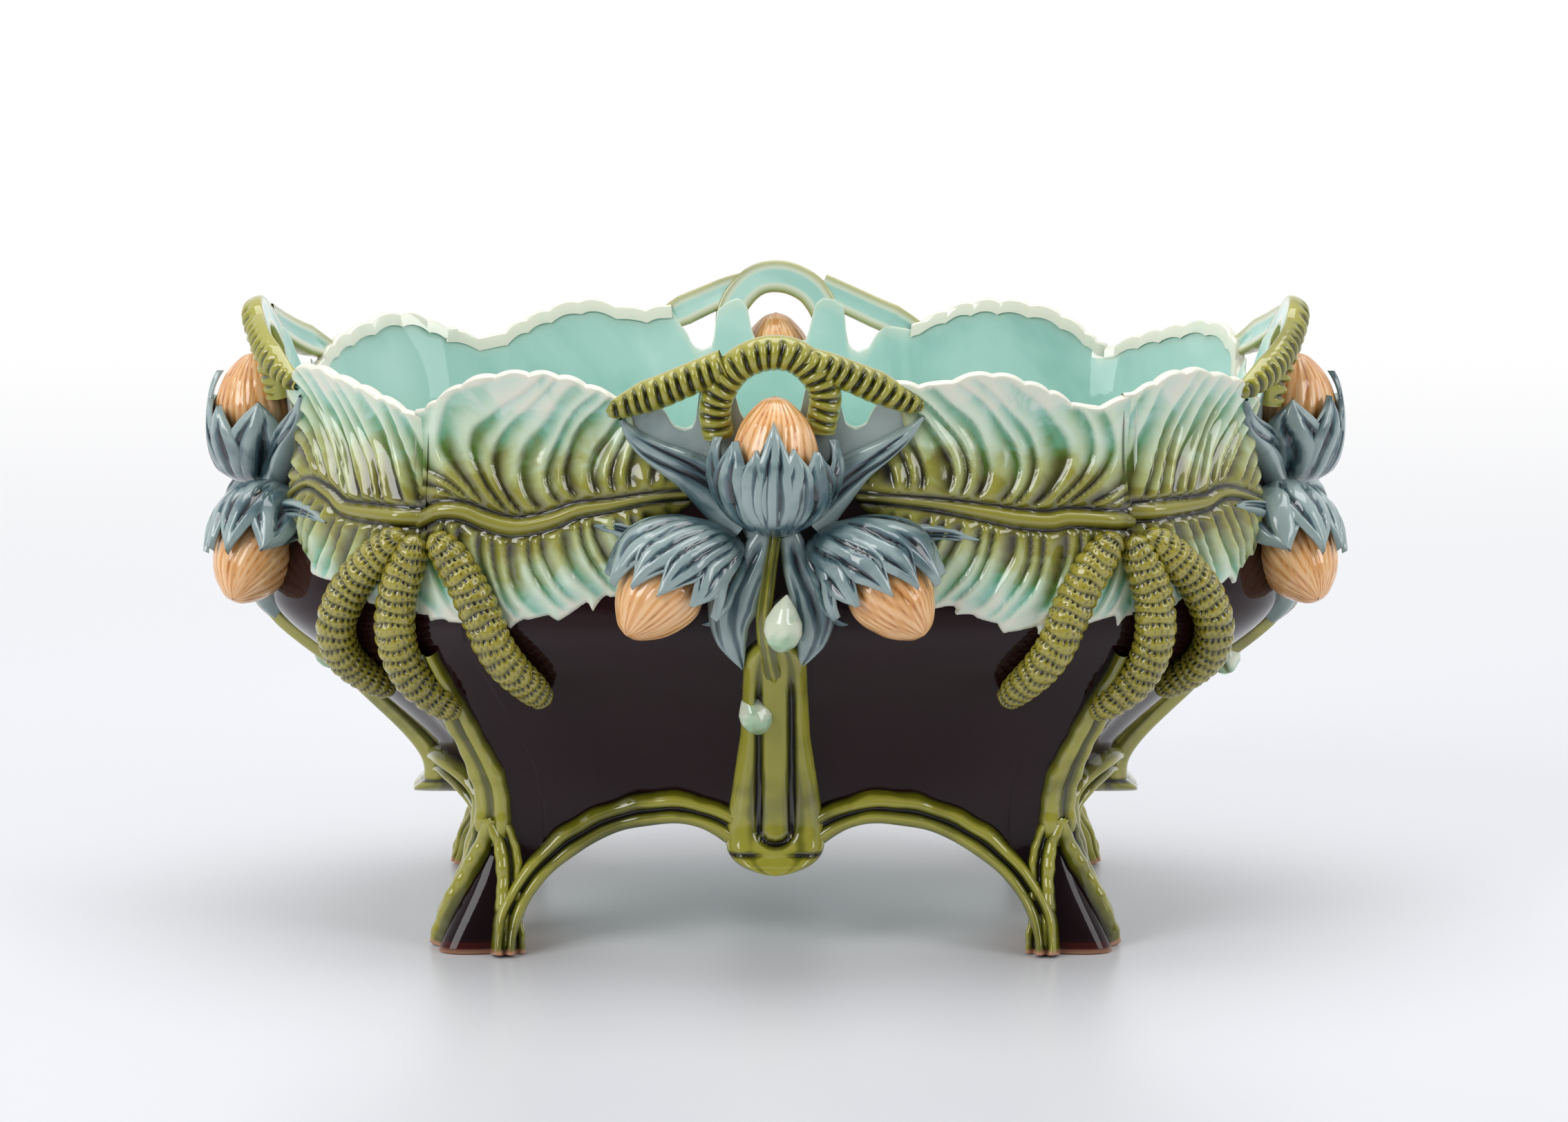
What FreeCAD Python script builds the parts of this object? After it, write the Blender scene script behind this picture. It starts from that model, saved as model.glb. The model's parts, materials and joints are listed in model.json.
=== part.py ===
"""An oblong jardiniere in glazed earthenware, on four feet of its own.

Four mitred wall panels and a floor make the bowl. Everything on the outside is a separate piece of
clay laid on the walls: hazel leaves round the rim, a spray of husked nuts under a pierced twig handle
on each side, three catkins on each corner, and twig mouldings round the arches.

Millimetres. +Z is up, the front is -Y, and the origin is on the ground under the middle of the bowl.
"""

import FreeCAD
import Part

import math
import os

Vector = FreeCAD.Vector

# ---- driving dimensions: the bowl's outer wall, level by level ----------------------------------
# Each level has its height, half its length, half its depth, and the reach of its corners from the middle.
FOOT_HEIGHT = 0.0
FOOT_HALF_LENGTH = 122.0
FOOT_HALF_DEPTH = 72.0
FOOT_CORNER = 138.0

WAIST_HEIGHT = 42.0
WAIST_HALF_LENGTH = 116.5
WAIST_HALF_DEPTH = 66.0
WAIST_CORNER = 119.0

HIP_HEIGHT = 60.0
HIP_HALF_LENGTH = 121.0
HIP_HALF_DEPTH = 69.0
HIP_CORNER = 120.5

BELLY_HEIGHT = 85.0
BELLY_HALF_LENGTH = 146.0
BELLY_HALF_DEPTH = 81.0
BELLY_CORNER = 133.0

BULGE_HEIGHT = 118.0
BULGE_HALF_LENGTH = 179.5
BULGE_HALF_DEPTH = 101.5
BULGE_CORNER = 148.0

NECK_HEIGHT = 172.0
NECK_HALF_LENGTH = 171.5
NECK_HALF_DEPTH = 95.5
NECK_CORNER = 145.0

LIP_HEIGHT = 224.0
LIP_HALF_LENGTH = 184.0
LIP_HALF_DEPTH = 104.5
LIP_CORNER = 150.0

SQUARENESS = 2.5  # exponent of the oval plan: 2 is an ellipse, more is squarer
CORNER_SHARPNESS = 20  # power that keeps the corner's swelling narrow
CORNER_ANGLE = math.radians(35.0)  # where the corners stand, measured from the long axis
SECTION_PITCH = 15.0  # about how far apart the plan sections of a wall surface lie
SIDE_BEARINGS = (0.0, 8.0, 15.0, 22.0, 27.0, 31.0)  # a section's points, in degrees from the long axis
FACE_BEARINGS = (39.0, 43.0, 48.0, 56.0, 66.0, 78.0)  # and from the corner to the middle of the front

# ---- driving dimensions: clay thicknesses --------------------------------------------------------
WALL = 7.0  # the bowl's wall below the leaves
LIP_WALL = 4.5  # the same wall where it thins at the lip
FLOOR_BOTTOM = 56.0
FLOOR_THICKNESS = 9.0
FLOOR_EASE = 0.8            # gap and depth of the eased edge of the floor's top face
FOOT_BLOCK_HEIGHT = 34.0
BARE_FOOT = 1.5  # the unglazed edge that the mouldings leave free at the ground

LEAF_MIDRIB_HEIGHT = 156.0
LEAF_THICKNESS = 6.5  # at the midrib
LEAF_EDGE_THICKNESS = 2.2
LEAF_CROWN_SPREAD = 26.0  # how far above and below the midrib the leaf stays thick

MOULDING_THICKNESS = 6.0
MOULDING_FOOT_FLARE = 3.0  # how much further the mouldings stand out at the ground
MOULDING_GROOVE = 2.2
MOULDING_GROOVE_DEPTH = 3.0
CENTRE_RIB_THICKNESS = 6.0
CENTRE_RIB_TOE = 8.0  # how much further the rib's toe curls out
TOE_CURL_HEIGHT = 12.0

# ---- driving dimensions: arches -------------------------------------------------------------------
ARCH_HALF_SPAN = 91.0  # front and rear, at the ground
ARCH_CROWN = 44.0
ARCH_CROWN_OFFSET = 38.0  # from the middle of the side to the crown of each arch
ARCH_DROP = 33.0  # lower end of the wall between the two arches
ARCH_CUSP_DEPTH = 23.0  # how far the cusp between them would hang below the crown if it were not cut off
END_ARCH_HALF_SPAN = 55.0
END_ARCH_CROWN = 52.0
END_ARCH_CROWN_OFFSET = 27.0
END_ARCH_DROP = 46.0
END_ARCH_CUSP_DEPTH = 12.0
ARCH_BAND = 11.0  # width of the moulding over the crown
ARCH_BAND_AT_FOOT = 7.5

# ---- driving dimensions: ribs ---------------------------------------------------------------------
CENTRE_RIB_TOP = 112.0
CENTRE_RIB_TOE_HEIGHT = 26.0
END_RIB_TOE_HEIGHT = 41.0
CENTRE_RIB_HALF_WIDTH = 12.0
CENTRE_RIB_TOE_HALF_WIDTH = 17.0
TONGUE_WIDTH = 9.0
TONGUE_CLEARANCE = 8.0  # from the tongue's round end to the toe
CORNER_RIB_TOP = 104.0
CORNER_RIB_FORK = 44.0
CORNER_RIB_WIDTH = 10.0
CORNER_RIB_FOOT_SPREAD = 17.0  # from the corner line to the outside of each fork
FORK_WIDTH = 8.5

# ---- driving dimensions: sprays, catkins and handles ---------------------------------------------
SPRAY_HEIGHT = 150.0  # where the nuts, husks and bracts of a spray meet
NUT_RADIUS = 14.5
NUT_LENGTH = 34.0
NUT_POINT = 0.8  # radius of the small flats at a nut's base and point
HUSK_THICKNESS = 5.0
HUSK_DEPTH = 19.0  # how much of a nut's length its cup holds
TOP_NUT_TIP = 199.0
TOP_NUT_STAND_OFF = 12.0  # from the wall to the nut's own axis
SIDE_NUT_OFFSET = 34.5
SIDE_NUT_HEIGHT = 132.5
SIDE_NUT_STAND_OFF = 9.0
PETAL_THICKNESS = 9.0
BRACT_THICKNESS = 7.0
BUD_STAND_OFF = 6.0
CATKIN_RADIUS = 7.0
CATKIN_STAND_OFF = 4.5
BED_CLEARANCE = 0.15  # between a catkin or petal and the leaf or wall it lies on
CATKIN_SWELL = ((0.0, 0.35), (0.05, 0.78), (0.2, 0.95), (0.5, 1.0), (0.75, 0.9), (0.94, 0.68), (1.0, 0.3))
HANDLE_RADIUS = 6.2
HANDLE_SIT = 2.0  # how far outside the wall's face the twig's centre line runs

CATKIN_BED_LOW = 100.0
CATKIN_BED_HIGH = 120.0

# ---- outlines chosen by hand from the object: distance round the wall from a side's middle, height --
# Distances round the wall run to the right as seen from outside and are measured at the spray's height.
LONG_LEFT_RIM = ((-122, 188), (-117, 193), (-102, 201.5), (-84, 204.5), (-68, 203), (-50, 195))
LONG_LEFT_TIP = ((-50, 195), (-46, 183), (-36, 172), (-26, 164), (-40, 152))
LONG_LEFT_TEETH = ((-40, 152), (-49, 132), (-57, 129), (-72, 123), (-86, 120), (-100, 118), (-122, 121))
LONG_RIGHT_RIM = ((38, 202), (52, 201), (70, 204.5), (90, 199), (106, 192), (122, 195))
LONG_RIGHT_TIP = ((40, 150), (27, 163), (35, 172), (44, 184), (38, 202))
LONG_RIGHT_TEETH = ((122, 121), (99, 119), (84, 118), (71, 120), (58, 126), (46, 131), (40, 150))
SHORT_LEFT_RIM = ((-192, 182), (-184, 196), (-168, 201.5), (-150, 198), (-134, 193), (-121, 187))
SHORT_LEFT_TEETH = ((-121, 121), (-135, 123), (-150, 127), (-164, 131), (-180, 141), (-192, 156))
SHORT_RIGHT_RIM = ((121, 196), (133, 201), (144, 202.5), (160, 199), (176, 194), (192, 184))
SHORT_RIGHT_TEETH = ((192, 148), (181, 138), (165, 130), (151, 127), (136, 123), (121, 121))
TOOTH_DEPTH = 3.0

# the left, middle and right catkin of the front right corner, from stalk to tip
CATKIN_PATHS = (
    ((106, 141), (100, 130), (94, 118), (89, 104), (88, 93)),
    ((120, 141), (125, 128), (127, 115), (126, 101), (119, 87)),
    ((133, 138), (143, 127), (149, 113), (154, 101), (158, 92)),
)

# lower edge of the pierced part of the wall under a handle, from left to right
PIERCING = ((-50, 195), (-42, 187), (-30, 182.5), (-22, 187), (-21, 201), (-16, 201), (-14, 196),
            (8, 196), (10, 201), (15, 201), (16, 186), (24, 182.5), (34, 188), (42, 194))
HANDLE_PATH = ((-56, 188), (-27, 202), (-12, 213), (6, 213), (18, 205), (47, 193))

PETAL_LEFT = ((-12, 163), (-26, 168), (-42, 176), (-50, 188), (-38, 187), (-22, 182), (-10, 178))
PETAL_RIGHT = ((12, 165), (26, 168), (40, 176), (46, 186), (36, 188), (22, 183), (10, 178))
BRACT_OUTLINE = ((-18, 148), (-25, 128), (-11, 107), (-3, 116), (8, 107), (17, 119), (16, 148))
BUDS = ((2.0, 122.0, 14.0, 19.0), (-8.0, 86.0, 11.0, 16.0))  # place round the wall, height, width, length

ARC_SHARE = 0.45  # how much of a straight run each bend of a path takes
REACH = 260.0  # longer than the pot in any direction: the length of a cutting prism


# ---- the wall surface -----------------------------------------------------------------------------
HEIGHTS = (FOOT_HEIGHT, WAIST_HEIGHT, HIP_HEIGHT, BELLY_HEIGHT, BULGE_HEIGHT, NECK_HEIGHT, LIP_HEIGHT)
HALF_LENGTHS = (FOOT_HALF_LENGTH, WAIST_HALF_LENGTH, HIP_HALF_LENGTH, BELLY_HALF_LENGTH,
                BULGE_HALF_LENGTH, NECK_HALF_LENGTH, LIP_HALF_LENGTH)
HALF_DEPTHS = (FOOT_HALF_DEPTH, WAIST_HALF_DEPTH, HIP_HALF_DEPTH, BELLY_HALF_DEPTH,
               BULGE_HALF_DEPTH, NECK_HALF_DEPTH, LIP_HALF_DEPTH)
CORNERS = (FOOT_CORNER, WAIST_CORNER, HIP_CORNER, BELLY_CORNER, BULGE_CORNER, NECK_CORNER, LIP_CORNER)


def level_slopes(values):
    """The slope of a profile at each level: flat where the profile turns back, so it never overshoots."""
    steps = [HEIGHTS[i + 1] - HEIGHTS[i] for i in range(len(HEIGHTS) - 1)]
    rises = [(values[i + 1] - values[i]) / steps[i] for i in range(len(steps))]
    slopes = [rises[0]]
    for i in range(1, len(steps)):
        if rises[i - 1] * rises[i] <= 0:
            slopes.append(0.0)
        else:
            slopes.append((rises[i - 1] * steps[i] + rises[i] * steps[i - 1]) / (steps[i - 1] + steps[i]))
    return slopes + [rises[-1]]


def profile(values, z):
    """A level's value at height z, on a smooth curve through all the levels."""
    slopes = level_slopes(values)
    i = max(0, min(len(HEIGHTS) - 2, sum(1 for height in HEIGHTS if height <= z) - 1))
    step = HEIGHTS[i + 1] - HEIGHTS[i]
    t = (z - HEIGHTS[i]) / step
    return ((2 * t**3 - 3 * t**2 + 1) * values[i] + (t**3 - 2 * t**2 + t) * step * slopes[i]
            + (3 * t**2 - 2 * t**3) * values[i + 1] + (t**3 - t**2) * step * slopes[i + 1])


def oval(angle, half_length, half_depth):
    """Distance from the middle to a squared oval."""
    along = abs(math.cos(angle) / half_length)
    across = abs(math.sin(angle) / half_depth)
    return (along**SQUARENESS + across**SQUARENESS) ** (-1.0 / SQUARENESS)


def wall_radius(angle, z):
    """Distance from the middle to the outside of the wall: the oval, swollen at its four corners."""
    half_length = profile(HALF_LENGTHS, z)
    half_depth = profile(HALF_DEPTHS, z)
    turned = math.atan2(abs(math.sin(angle)), abs(math.cos(angle)) * math.tan(CORNER_ANGLE))
    weight = math.sin(2 * turned) ** CORNER_SHARPNESS
    swelling = profile(CORNERS, z) / oval(CORNER_ANGLE, half_length, half_depth) - 1.0
    return oval(angle, half_length, half_depth) * (1.0 + weight * swelling)


def wall_point(angle, z, outside=0.0):
    """A point on the wall, or that far outside it."""
    reach = wall_radius(angle, z) + outside
    return Vector(reach * math.cos(angle), reach * math.sin(angle), z)


def round_distances():
    """Distance round the wall from the middle of the front, at the spray's height, for each degree."""
    total = 0.0
    table = [(0.0, -math.pi / 2)]
    before = wall_point(-math.pi / 2, SPRAY_HEIGHT)
    for degree in range(1, 361):
        angle = -math.pi / 2 + math.radians(degree)
        after = wall_point(angle, SPRAY_HEIGHT)
        total += after.distanceToPoint(before)
        table.append((total, angle))
        before = after
    return table


ROUND = round_distances()
PERIMETER = ROUND[-1][0]


def angle_at(distance):
    """The direction from the middle to the point this far round the wall from the front's middle."""
    distance %= PERIMETER
    for (low, start), (high, stop) in zip(ROUND, ROUND[1:]):
        if distance <= high:
            return start + (stop - start) * (distance - low) / (high - low)
    return ROUND[-1][1]


def on_wall(distance, z, outside=0.0):
    return wall_point(angle_at(distance), z, outside)


def section_angles():
    """The directions of a section's points, closer together round each corner."""
    quadrant = [math.radians(bearing) for bearing in SIDE_BEARINGS] + [CORNER_ANGLE]
    quadrant += [math.radians(bearing) for bearing in FACE_BEARINGS]
    second = [math.pi - angle for angle in quadrant[:0:-1]]
    half = quadrant + [math.pi / 2] + second
    return half + [math.pi + angle for angle in half]


SECTION_ANGLES = section_angles()
SECTION_KNOTS = [angle / (2 * math.pi) for angle in SECTION_ANGLES] + [1.0]


SECTION_COUNT = round((LIP_HEIGHT - FOOT_HEIGHT) / SECTION_PITCH) + 1


def grown(growth):
    """The solid inside the wall surface, grown outward by growth(z), over the pot's whole height."""
    wires = []
    for i in range(SECTION_COUNT):
        z = FOOT_HEIGHT + (LIP_HEIGHT - FOOT_HEIGHT) * i / (SECTION_COUNT - 1)
        points = [wall_point(angle, z, growth(z)) for angle in SECTION_ANGLES]
        curve = Part.BSplineCurve()
        curve.interpolate(Points=points, Parameters=SECTION_KNOTS, PeriodicFlag=True)
        wires.append(Part.Wire([curve.toShape()]))
    return Part.makeLoft(wires, True, False)


# ---- how far each layer of clay stands out from the wall surface -----------------------------------
def leaf_growth(z):
    crown = math.exp(-(((z - LEAF_MIDRIB_HEIGHT) / LEAF_CROWN_SPREAD) ** 2))
    return LEAF_EDGE_THICKNESS + (LEAF_THICKNESS - LEAF_EDGE_THICKNESS) * crown


def catkin_bed(z):
    """The leaf's surface, running down to the bare wall below it."""
    share = max(0.0, min(1.0, (z - CATKIN_BED_LOW) / (CATKIN_BED_HIGH - CATKIN_BED_LOW)))
    return BED_CLEARANCE + share * leaf_growth(z)


def inner_growth(z):
    rise = max(0.0, min(1.0, (z - SPRAY_HEIGHT) / (TOP_NUT_TIP - SPRAY_HEIGHT)))
    return -(WALL + (LIP_WALL - WALL) * rise)


def moulding_growth(z):
    flare = max(0.0, 1.0 - z / CORNER_RIB_FORK)
    return MOULDING_THICKNESS + MOULDING_FOOT_FLARE * flare**2


def rib_growth(toe_height):
    def growth(z):
        return CENTRE_RIB_THICKNESS + CENTRE_RIB_TOE * math.exp(-max(0.0, z - toe_height) / TOE_CURL_HEIGHT)
    return growth


# ---- sides -----------------------------------------------------------------------------------------
class Side:
    """One side or corner of the bowl, seen from outside: how to draw on it and how to cut through it."""

    def __init__(self, name, middle, half_angle=None):
        self.name = name
        self.middle = middle  # distance round the wall from the middle of the front
        self.half_angle = half_angle  # from its middle to its mitred corners
        self.outward = on_wall(middle, 0.0)
        self.outward.z = 0.0
        self.outward.normalize()
        self.right = Vector(-self.outward.y, self.outward.x, 0)

    def drawn(self, h, z):
        """A point of the drawing plane through the bowl's axis, h to the right and z up."""
        return self.right * h + Vector(0, 0, z)

    def seen(self, distance, z):
        """Where a point of the wall shows in the drawing, given its distance from the front's middle."""
        return (on_wall(distance, z).dot(self.right), z)

    def near(self, points):
        """The same for points given from this side's own middle."""
        return [self.seen(self.middle + distance, z) for distance, z in points]

    def at(self, distance, z, outside):
        """A point that far outside the wall, given its distance from this side's own middle."""
        return on_wall(self.middle + distance, z, outside)

    def straight(self, points):
        places = [self.drawn(*point) for point in points]
        return [Part.LineSegment(a, b).toShape() for a, b in zip(places, places[1:])]

    def smooth(self, points):
        curve = Part.BSplineCurve()
        curve.interpolate([self.drawn(*point) for point in points])
        return [curve.toShape()]

    def teeth(self, points):
        """Arcs from point to point, each swelling to the left of the way it runs."""
        edges = []
        for (h0, z0), (h1, z1) in zip(points, points[1:]):
            swell = TOOTH_DEPTH / math.hypot(h1 - h0, z1 - z0)
            middle = ((h0 + h1) / 2 - swell * (z1 - z0), (z0 + z1) / 2 + swell * (h1 - h0))
            edges.append(Part.Arc(self.drawn(h0, z0), self.drawn(*middle), self.drawn(h1, z1)).toShape())
        return edges

    def prism(self, edges):
        """The outline pushed outward from the drawing plane."""
        return Part.Face(Part.Wire(edges)).extrude(self.outward * REACH)

    def wedge(self):
        """Everything between this side's two mitred corners."""
        swing = self.right * (REACH * math.tan(self.half_angle))
        below = Vector(0, 0, -1)
        far = self.outward * REACH + below
        return Part.Face(Part.makePolygon([below, far + swing, far - swing, below])).extrude(Vector(0, 0, REACH))


def corner_distance():
    """Distance round the wall from the middle of the front to the corner on its right."""
    (near, start), (far, stop) = [
        pair for pair in zip(ROUND, ROUND[1:]) if pair[0][1] <= -CORNER_ANGLE < pair[1][1]
    ][0]
    return near + (far - near) * (-CORNER_ANGLE - start) / (stop - start)


FRONT = Side("front", 0.0, math.pi / 2 - CORNER_ANGLE)
RIGHT_END = Side("right_end", PERIMETER / 4, CORNER_ANGLE)
LEFT_END = Side("left_end", -PERIMETER / 4, CORNER_ANGLE)
CORNER = Side("corner", corner_distance())
HALF_TURN = PERIMETER / 2


def turned(shape):
    """The same piece on the far side of the bowl."""
    return shape.rotated(Vector(0, 0, 0), Vector(0, 0, 1), 180)


def mirrored(shape):
    """The same piece on the left half instead of the right."""
    return shape.mirror(Vector(0, 0, 0), Vector(1, 0, 0))


def largest(shape):
    """The main solid of a cut, without slivers."""
    return max(shape.Solids, key=lambda solid: solid.Volume)


def bare(shape, *others):
    """The shape without what others already fill."""
    shape = largest(shape)
    for other in others:
        shape = largest(shape.cut(other))
    return shape


# ---- arches ----------------------------------------------------------------------------------------
class Arch:
    """The pair of arches under one side, which meet at a drop in the middle."""

    def __init__(self, side, half_span, crown, crown_offset, drop, cusp_depth):
        self.side = side
        self.half_span = half_span
        self.crown = crown
        self.crown_offset = crown_offset
        self.drop = drop
        self.cusp_depth = cusp_depth

    def prism(self, share=0.0):
        """The opening, widened by that share of the moulding's width."""
        half_span = self.half_span + share * ARCH_BAND_AT_FOOT
        crown = self.crown + share * ARCH_BAND
        drop = self.drop + share * ARCH_BAND
        run = self.crown_offset * (1.0 - math.sqrt((crown - drop) / self.cusp_depth))
        inner = []
        for i in range(5):
            h = self.crown_offset + (run - self.crown_offset) * i / 4
            inner.append((h, crown - self.cusp_depth * (1.0 - h / self.crown_offset) ** 2))
        edges = self.side.straight([(-half_span, 0.0), (-half_span, -1.0), (half_span, -1.0), (half_span, 0.0)])
        edges += self.quarter(half_span, crown, 1.0)
        edges += self.side.smooth(inner)
        edges += self.side.straight([inner[-1], (-inner[-1][0], inner[-1][1])])
        edges += self.side.smooth([(-h, z) for h, z in reversed(inner)])
        edges += self.quarter(half_span, crown, -1.0)
        return self.side.prism(Part.__sortEdges__(edges))

    def quarter(self, half_span, crown, sign):
        """A quarter of an ellipse from the ground to the crown."""
        points = []
        for degrees in (0, 18, 36, 54, 72, 90):
            turn = math.radians(degrees)
            h = self.crown_offset + (half_span - self.crown_offset) * math.cos(turn)
            points.append((sign * h, crown * math.sin(turn)))
        return self.side.smooth(points)


FRONT_ARCH = Arch(FRONT, ARCH_HALF_SPAN, ARCH_CROWN, ARCH_CROWN_OFFSET, ARCH_DROP, ARCH_CUSP_DEPTH)
END_ARCH = Arch(RIGHT_END, END_ARCH_HALF_SPAN, END_ARCH_CROWN, END_ARCH_CROWN_OFFSET, END_ARCH_DROP,
                END_ARCH_CUSP_DEPTH)


# ---- the bowl --------------------------------------------------------------------------------------
def front_lip():
    """The top edge of the front wall, as drawn from the front."""
    left = [FRONT.seen(*point) for point in LONG_LEFT_RIM]
    right = [FRONT.seen(*point) for point in LONG_RIGHT_RIM]
    pierced = FRONT.near(PIERCING[1:])
    return FRONT.smooth(left) + FRONT.straight([left[-1], *pierced, right[0]]) + FRONT.smooth(right)


def end_lip():
    """The top edge of the right end's wall, between the tips of its two leaves."""
    left = [RIGHT_END.seen(*point) for point in SHORT_RIGHT_RIM]
    right = [RIGHT_END.seen(distance + HALF_TURN, z) for distance, z in SHORT_LEFT_RIM]
    pierced = RIGHT_END.near(PIERCING[2:-1])
    return RIGHT_END.smooth(left) + RIGHT_END.straight([left[-1], *pierced, right[0]]) + RIGHT_END.smooth(right)


def wall_panel(shell, side, lip, arch):
    """One wall of the bowl: its share of the shell, below its lip and above its arches."""
    start = lip[0].Vertexes[0].Point
    end = lip[-1].Vertexes[-1].Point
    low_right = end + Vector(0, 0, -REACH)
    low_left = start + Vector(0, 0, -REACH)
    over_right = side.drawn(REACH, 0) + Vector(0, 0, end.z)
    over_left = side.drawn(-REACH, 0) + Vector(0, 0, start.z)
    outline = Part.makePolygon([end, over_right, over_right - Vector(0, 0, REACH),
                                over_left - Vector(0, 0, REACH), over_left, start])
    keep = side.prism(Part.__sortEdges__(lip + outline.Edges))
    return bare(shell.common(side.wedge()).common(keep), arch.prism())


def make_walls(shell):
    front = wall_panel(shell, FRONT, front_lip(), FRONT_ARCH)
    end = wall_panel(shell, RIGHT_END, end_lip(), END_ARCH)
    return {"wall_front": front, "wall_rear": turned(front),
            "wall_right_end": end, "wall_left_end": turned(end)}


def make_floor(inside):
    """The floor, its top face eased back a little from the wall all round."""
    low = Part.makeBox(2 * REACH, 2 * REACH, FLOOR_THICKNESS - FLOOR_EASE, Vector(-REACH, -REACH, FLOOR_BOTTOM))
    ease = Vector(-REACH, -REACH, FLOOR_BOTTOM + FLOOR_THICKNESS - FLOOR_EASE)
    top = Part.makeBox(2 * REACH, 2 * REACH, FLOOR_EASE, ease)
    eased = grown(lambda z: inner_growth(z) - FLOOR_EASE)
    return {"floor_slab": largest(inside.common(low).fuse(eased.common(top)))}


def make_foot_blocks(inside):
    """Solid clay inside each corner, cut by the arches on both sides of it."""
    corner = Part.makeBox(REACH, REACH, FOOT_BLOCK_HEIGHT, Vector(0, -REACH, 0))
    block = bare(inside.common(corner), FRONT_ARCH.prism(), END_ARCH.prism())
    return four_corners("foot_block", block)


def four_corners(name, front_right):
    front_left = mirrored(front_right)
    return {f"{name}_front_right": front_right, f"{name}_front_left": front_left,
            f"{name}_rear_left": turned(front_right), f"{name}_rear_right": turned(front_left)}


# ---- ribs and mouldings ------------------------------------------------------------------------------
def make_centre_rib(side, toe_height, body):
    """The rib between two arches: wider downward, with a toe that curls out and a raised tongue."""
    growth = rib_growth(toe_height)
    height = CENTRE_RIB_TOP - toe_height
    half = [(CENTRE_RIB_HALF_WIDTH - 1.0, CENTRE_RIB_TOP),
            (CENTRE_RIB_HALF_WIDTH, toe_height + 0.6 * height),
            (CENTRE_RIB_TOE_HALF_WIDTH - 1.0, toe_height + 0.22 * height),
            (CENTRE_RIB_TOE_HALF_WIDTH, toe_height + 0.1 * height),
            (0.7 * CENTRE_RIB_TOE_HALF_WIDTH, toe_height + 0.02 * height)]
    left = [(-h, z) for h, z in half]
    toe = [left[-1], (0.0, toe_height), half[-1]]
    edges = side.straight([half[0], left[0]]) + side.smooth(left) + side.smooth(toe) + side.smooth(half[::-1])
    skin = grown(growth)
    rib = bare(skin.common(side.prism(edges)), body)
    deep = grown(lambda z: growth(z) - MOULDING_GROOVE_DEPTH)
    groove = tongue_prism(side, toe_height, TONGUE_WIDTH / 2 + MOULDING_GROOVE)
    groove = groove.cut(tongue_prism(side, toe_height, TONGUE_WIDTH / 2)).cut(deep)
    return bare(rib, groove)


def tongue_prism(side, toe_height, half_width):
    """A round-ended tongue that hangs down the middle of a centre rib."""
    top = toe_height + 0.62 * (CENTRE_RIB_TOP - toe_height)
    low = toe_height + TONGUE_CLEARANCE + TONGUE_WIDTH / 2
    edges = side.straight([(-half_width, low), (-half_width, top), (half_width, top), (half_width, low)])
    bottom = [side.drawn(half_width, low), side.drawn(0.0, low - half_width), side.drawn(-half_width, low)]
    return side.prism(edges + [Part.Arc(*bottom).toShape()])


def make_mouldings(arch, skin, deep, rib):
    """The two twig mouldings of one side, left and right, each a double ridge with a groove between."""
    wedge = arch.side.wedge()
    opening = arch.prism()
    band = skin.common(wedge).common(arch.prism(1.0)).cut(opening)
    groove = arch.prism(0.5 + MOULDING_GROOVE / ARCH_BAND / 2).cut(arch.prism(0.5 - MOULDING_GROOVE / ARCH_BAND / 2))
    band = band.cut(groove.cut(deep)).cut(rib)
    halves = sorted(band.Solids, key=lambda solid: -solid.Volume)[:2]
    return sorted(halves, key=lambda solid: solid.CenterOfMass.dot(arch.side.right))


def make_corner_rib(skin, mouldings, catkins):
    """The rib down one corner, which forks round a bare shield on the foot."""
    half = CORNER_RIB_WIDTH / 2
    spread = CORNER_RIB_FOOT_SPREAD
    outside = [(half, CORNER_RIB_FORK + 8.0), (half + 1.0, CORNER_RIB_FORK), (0.62 * spread, 0.5 * CORNER_RIB_FORK),
               (0.88 * spread, 0.2 * CORNER_RIB_FORK), (spread, -1.0)]
    inside = [(spread - FORK_WIDTH, -1.0), (0.36 * spread, 0.35 * CORNER_RIB_FORK),
              (0.0, CORNER_RIB_FORK - FORK_WIDTH)]
    left_out = [(-h, z) for h, z in outside]
    left_in = [(-h, z) for h, z in inside]
    edges = CORNER.smooth(outside) + CORNER.straight([outside[-1], inside[0]]) + CORNER.smooth(inside)
    edges += CORNER.smooth(left_in[::-1]) + CORNER.straight([left_in[0], left_out[-1]])
    edges += CORNER.smooth(left_out[::-1])
    edges += CORNER.straight([left_out[0], (-half, CORNER_RIB_TOP), (half, CORNER_RIB_TOP), outside[0]])
    return bare(skin.common(CORNER.prism(edges)), *mouldings, *catkins)


# ---- leaves ------------------------------------------------------------------------------------------
def leaf(skin, side, outline):
    return largest(skin.common(side.wedge()).common(side.prism(Part.__sortEdges__(outline))))


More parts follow.
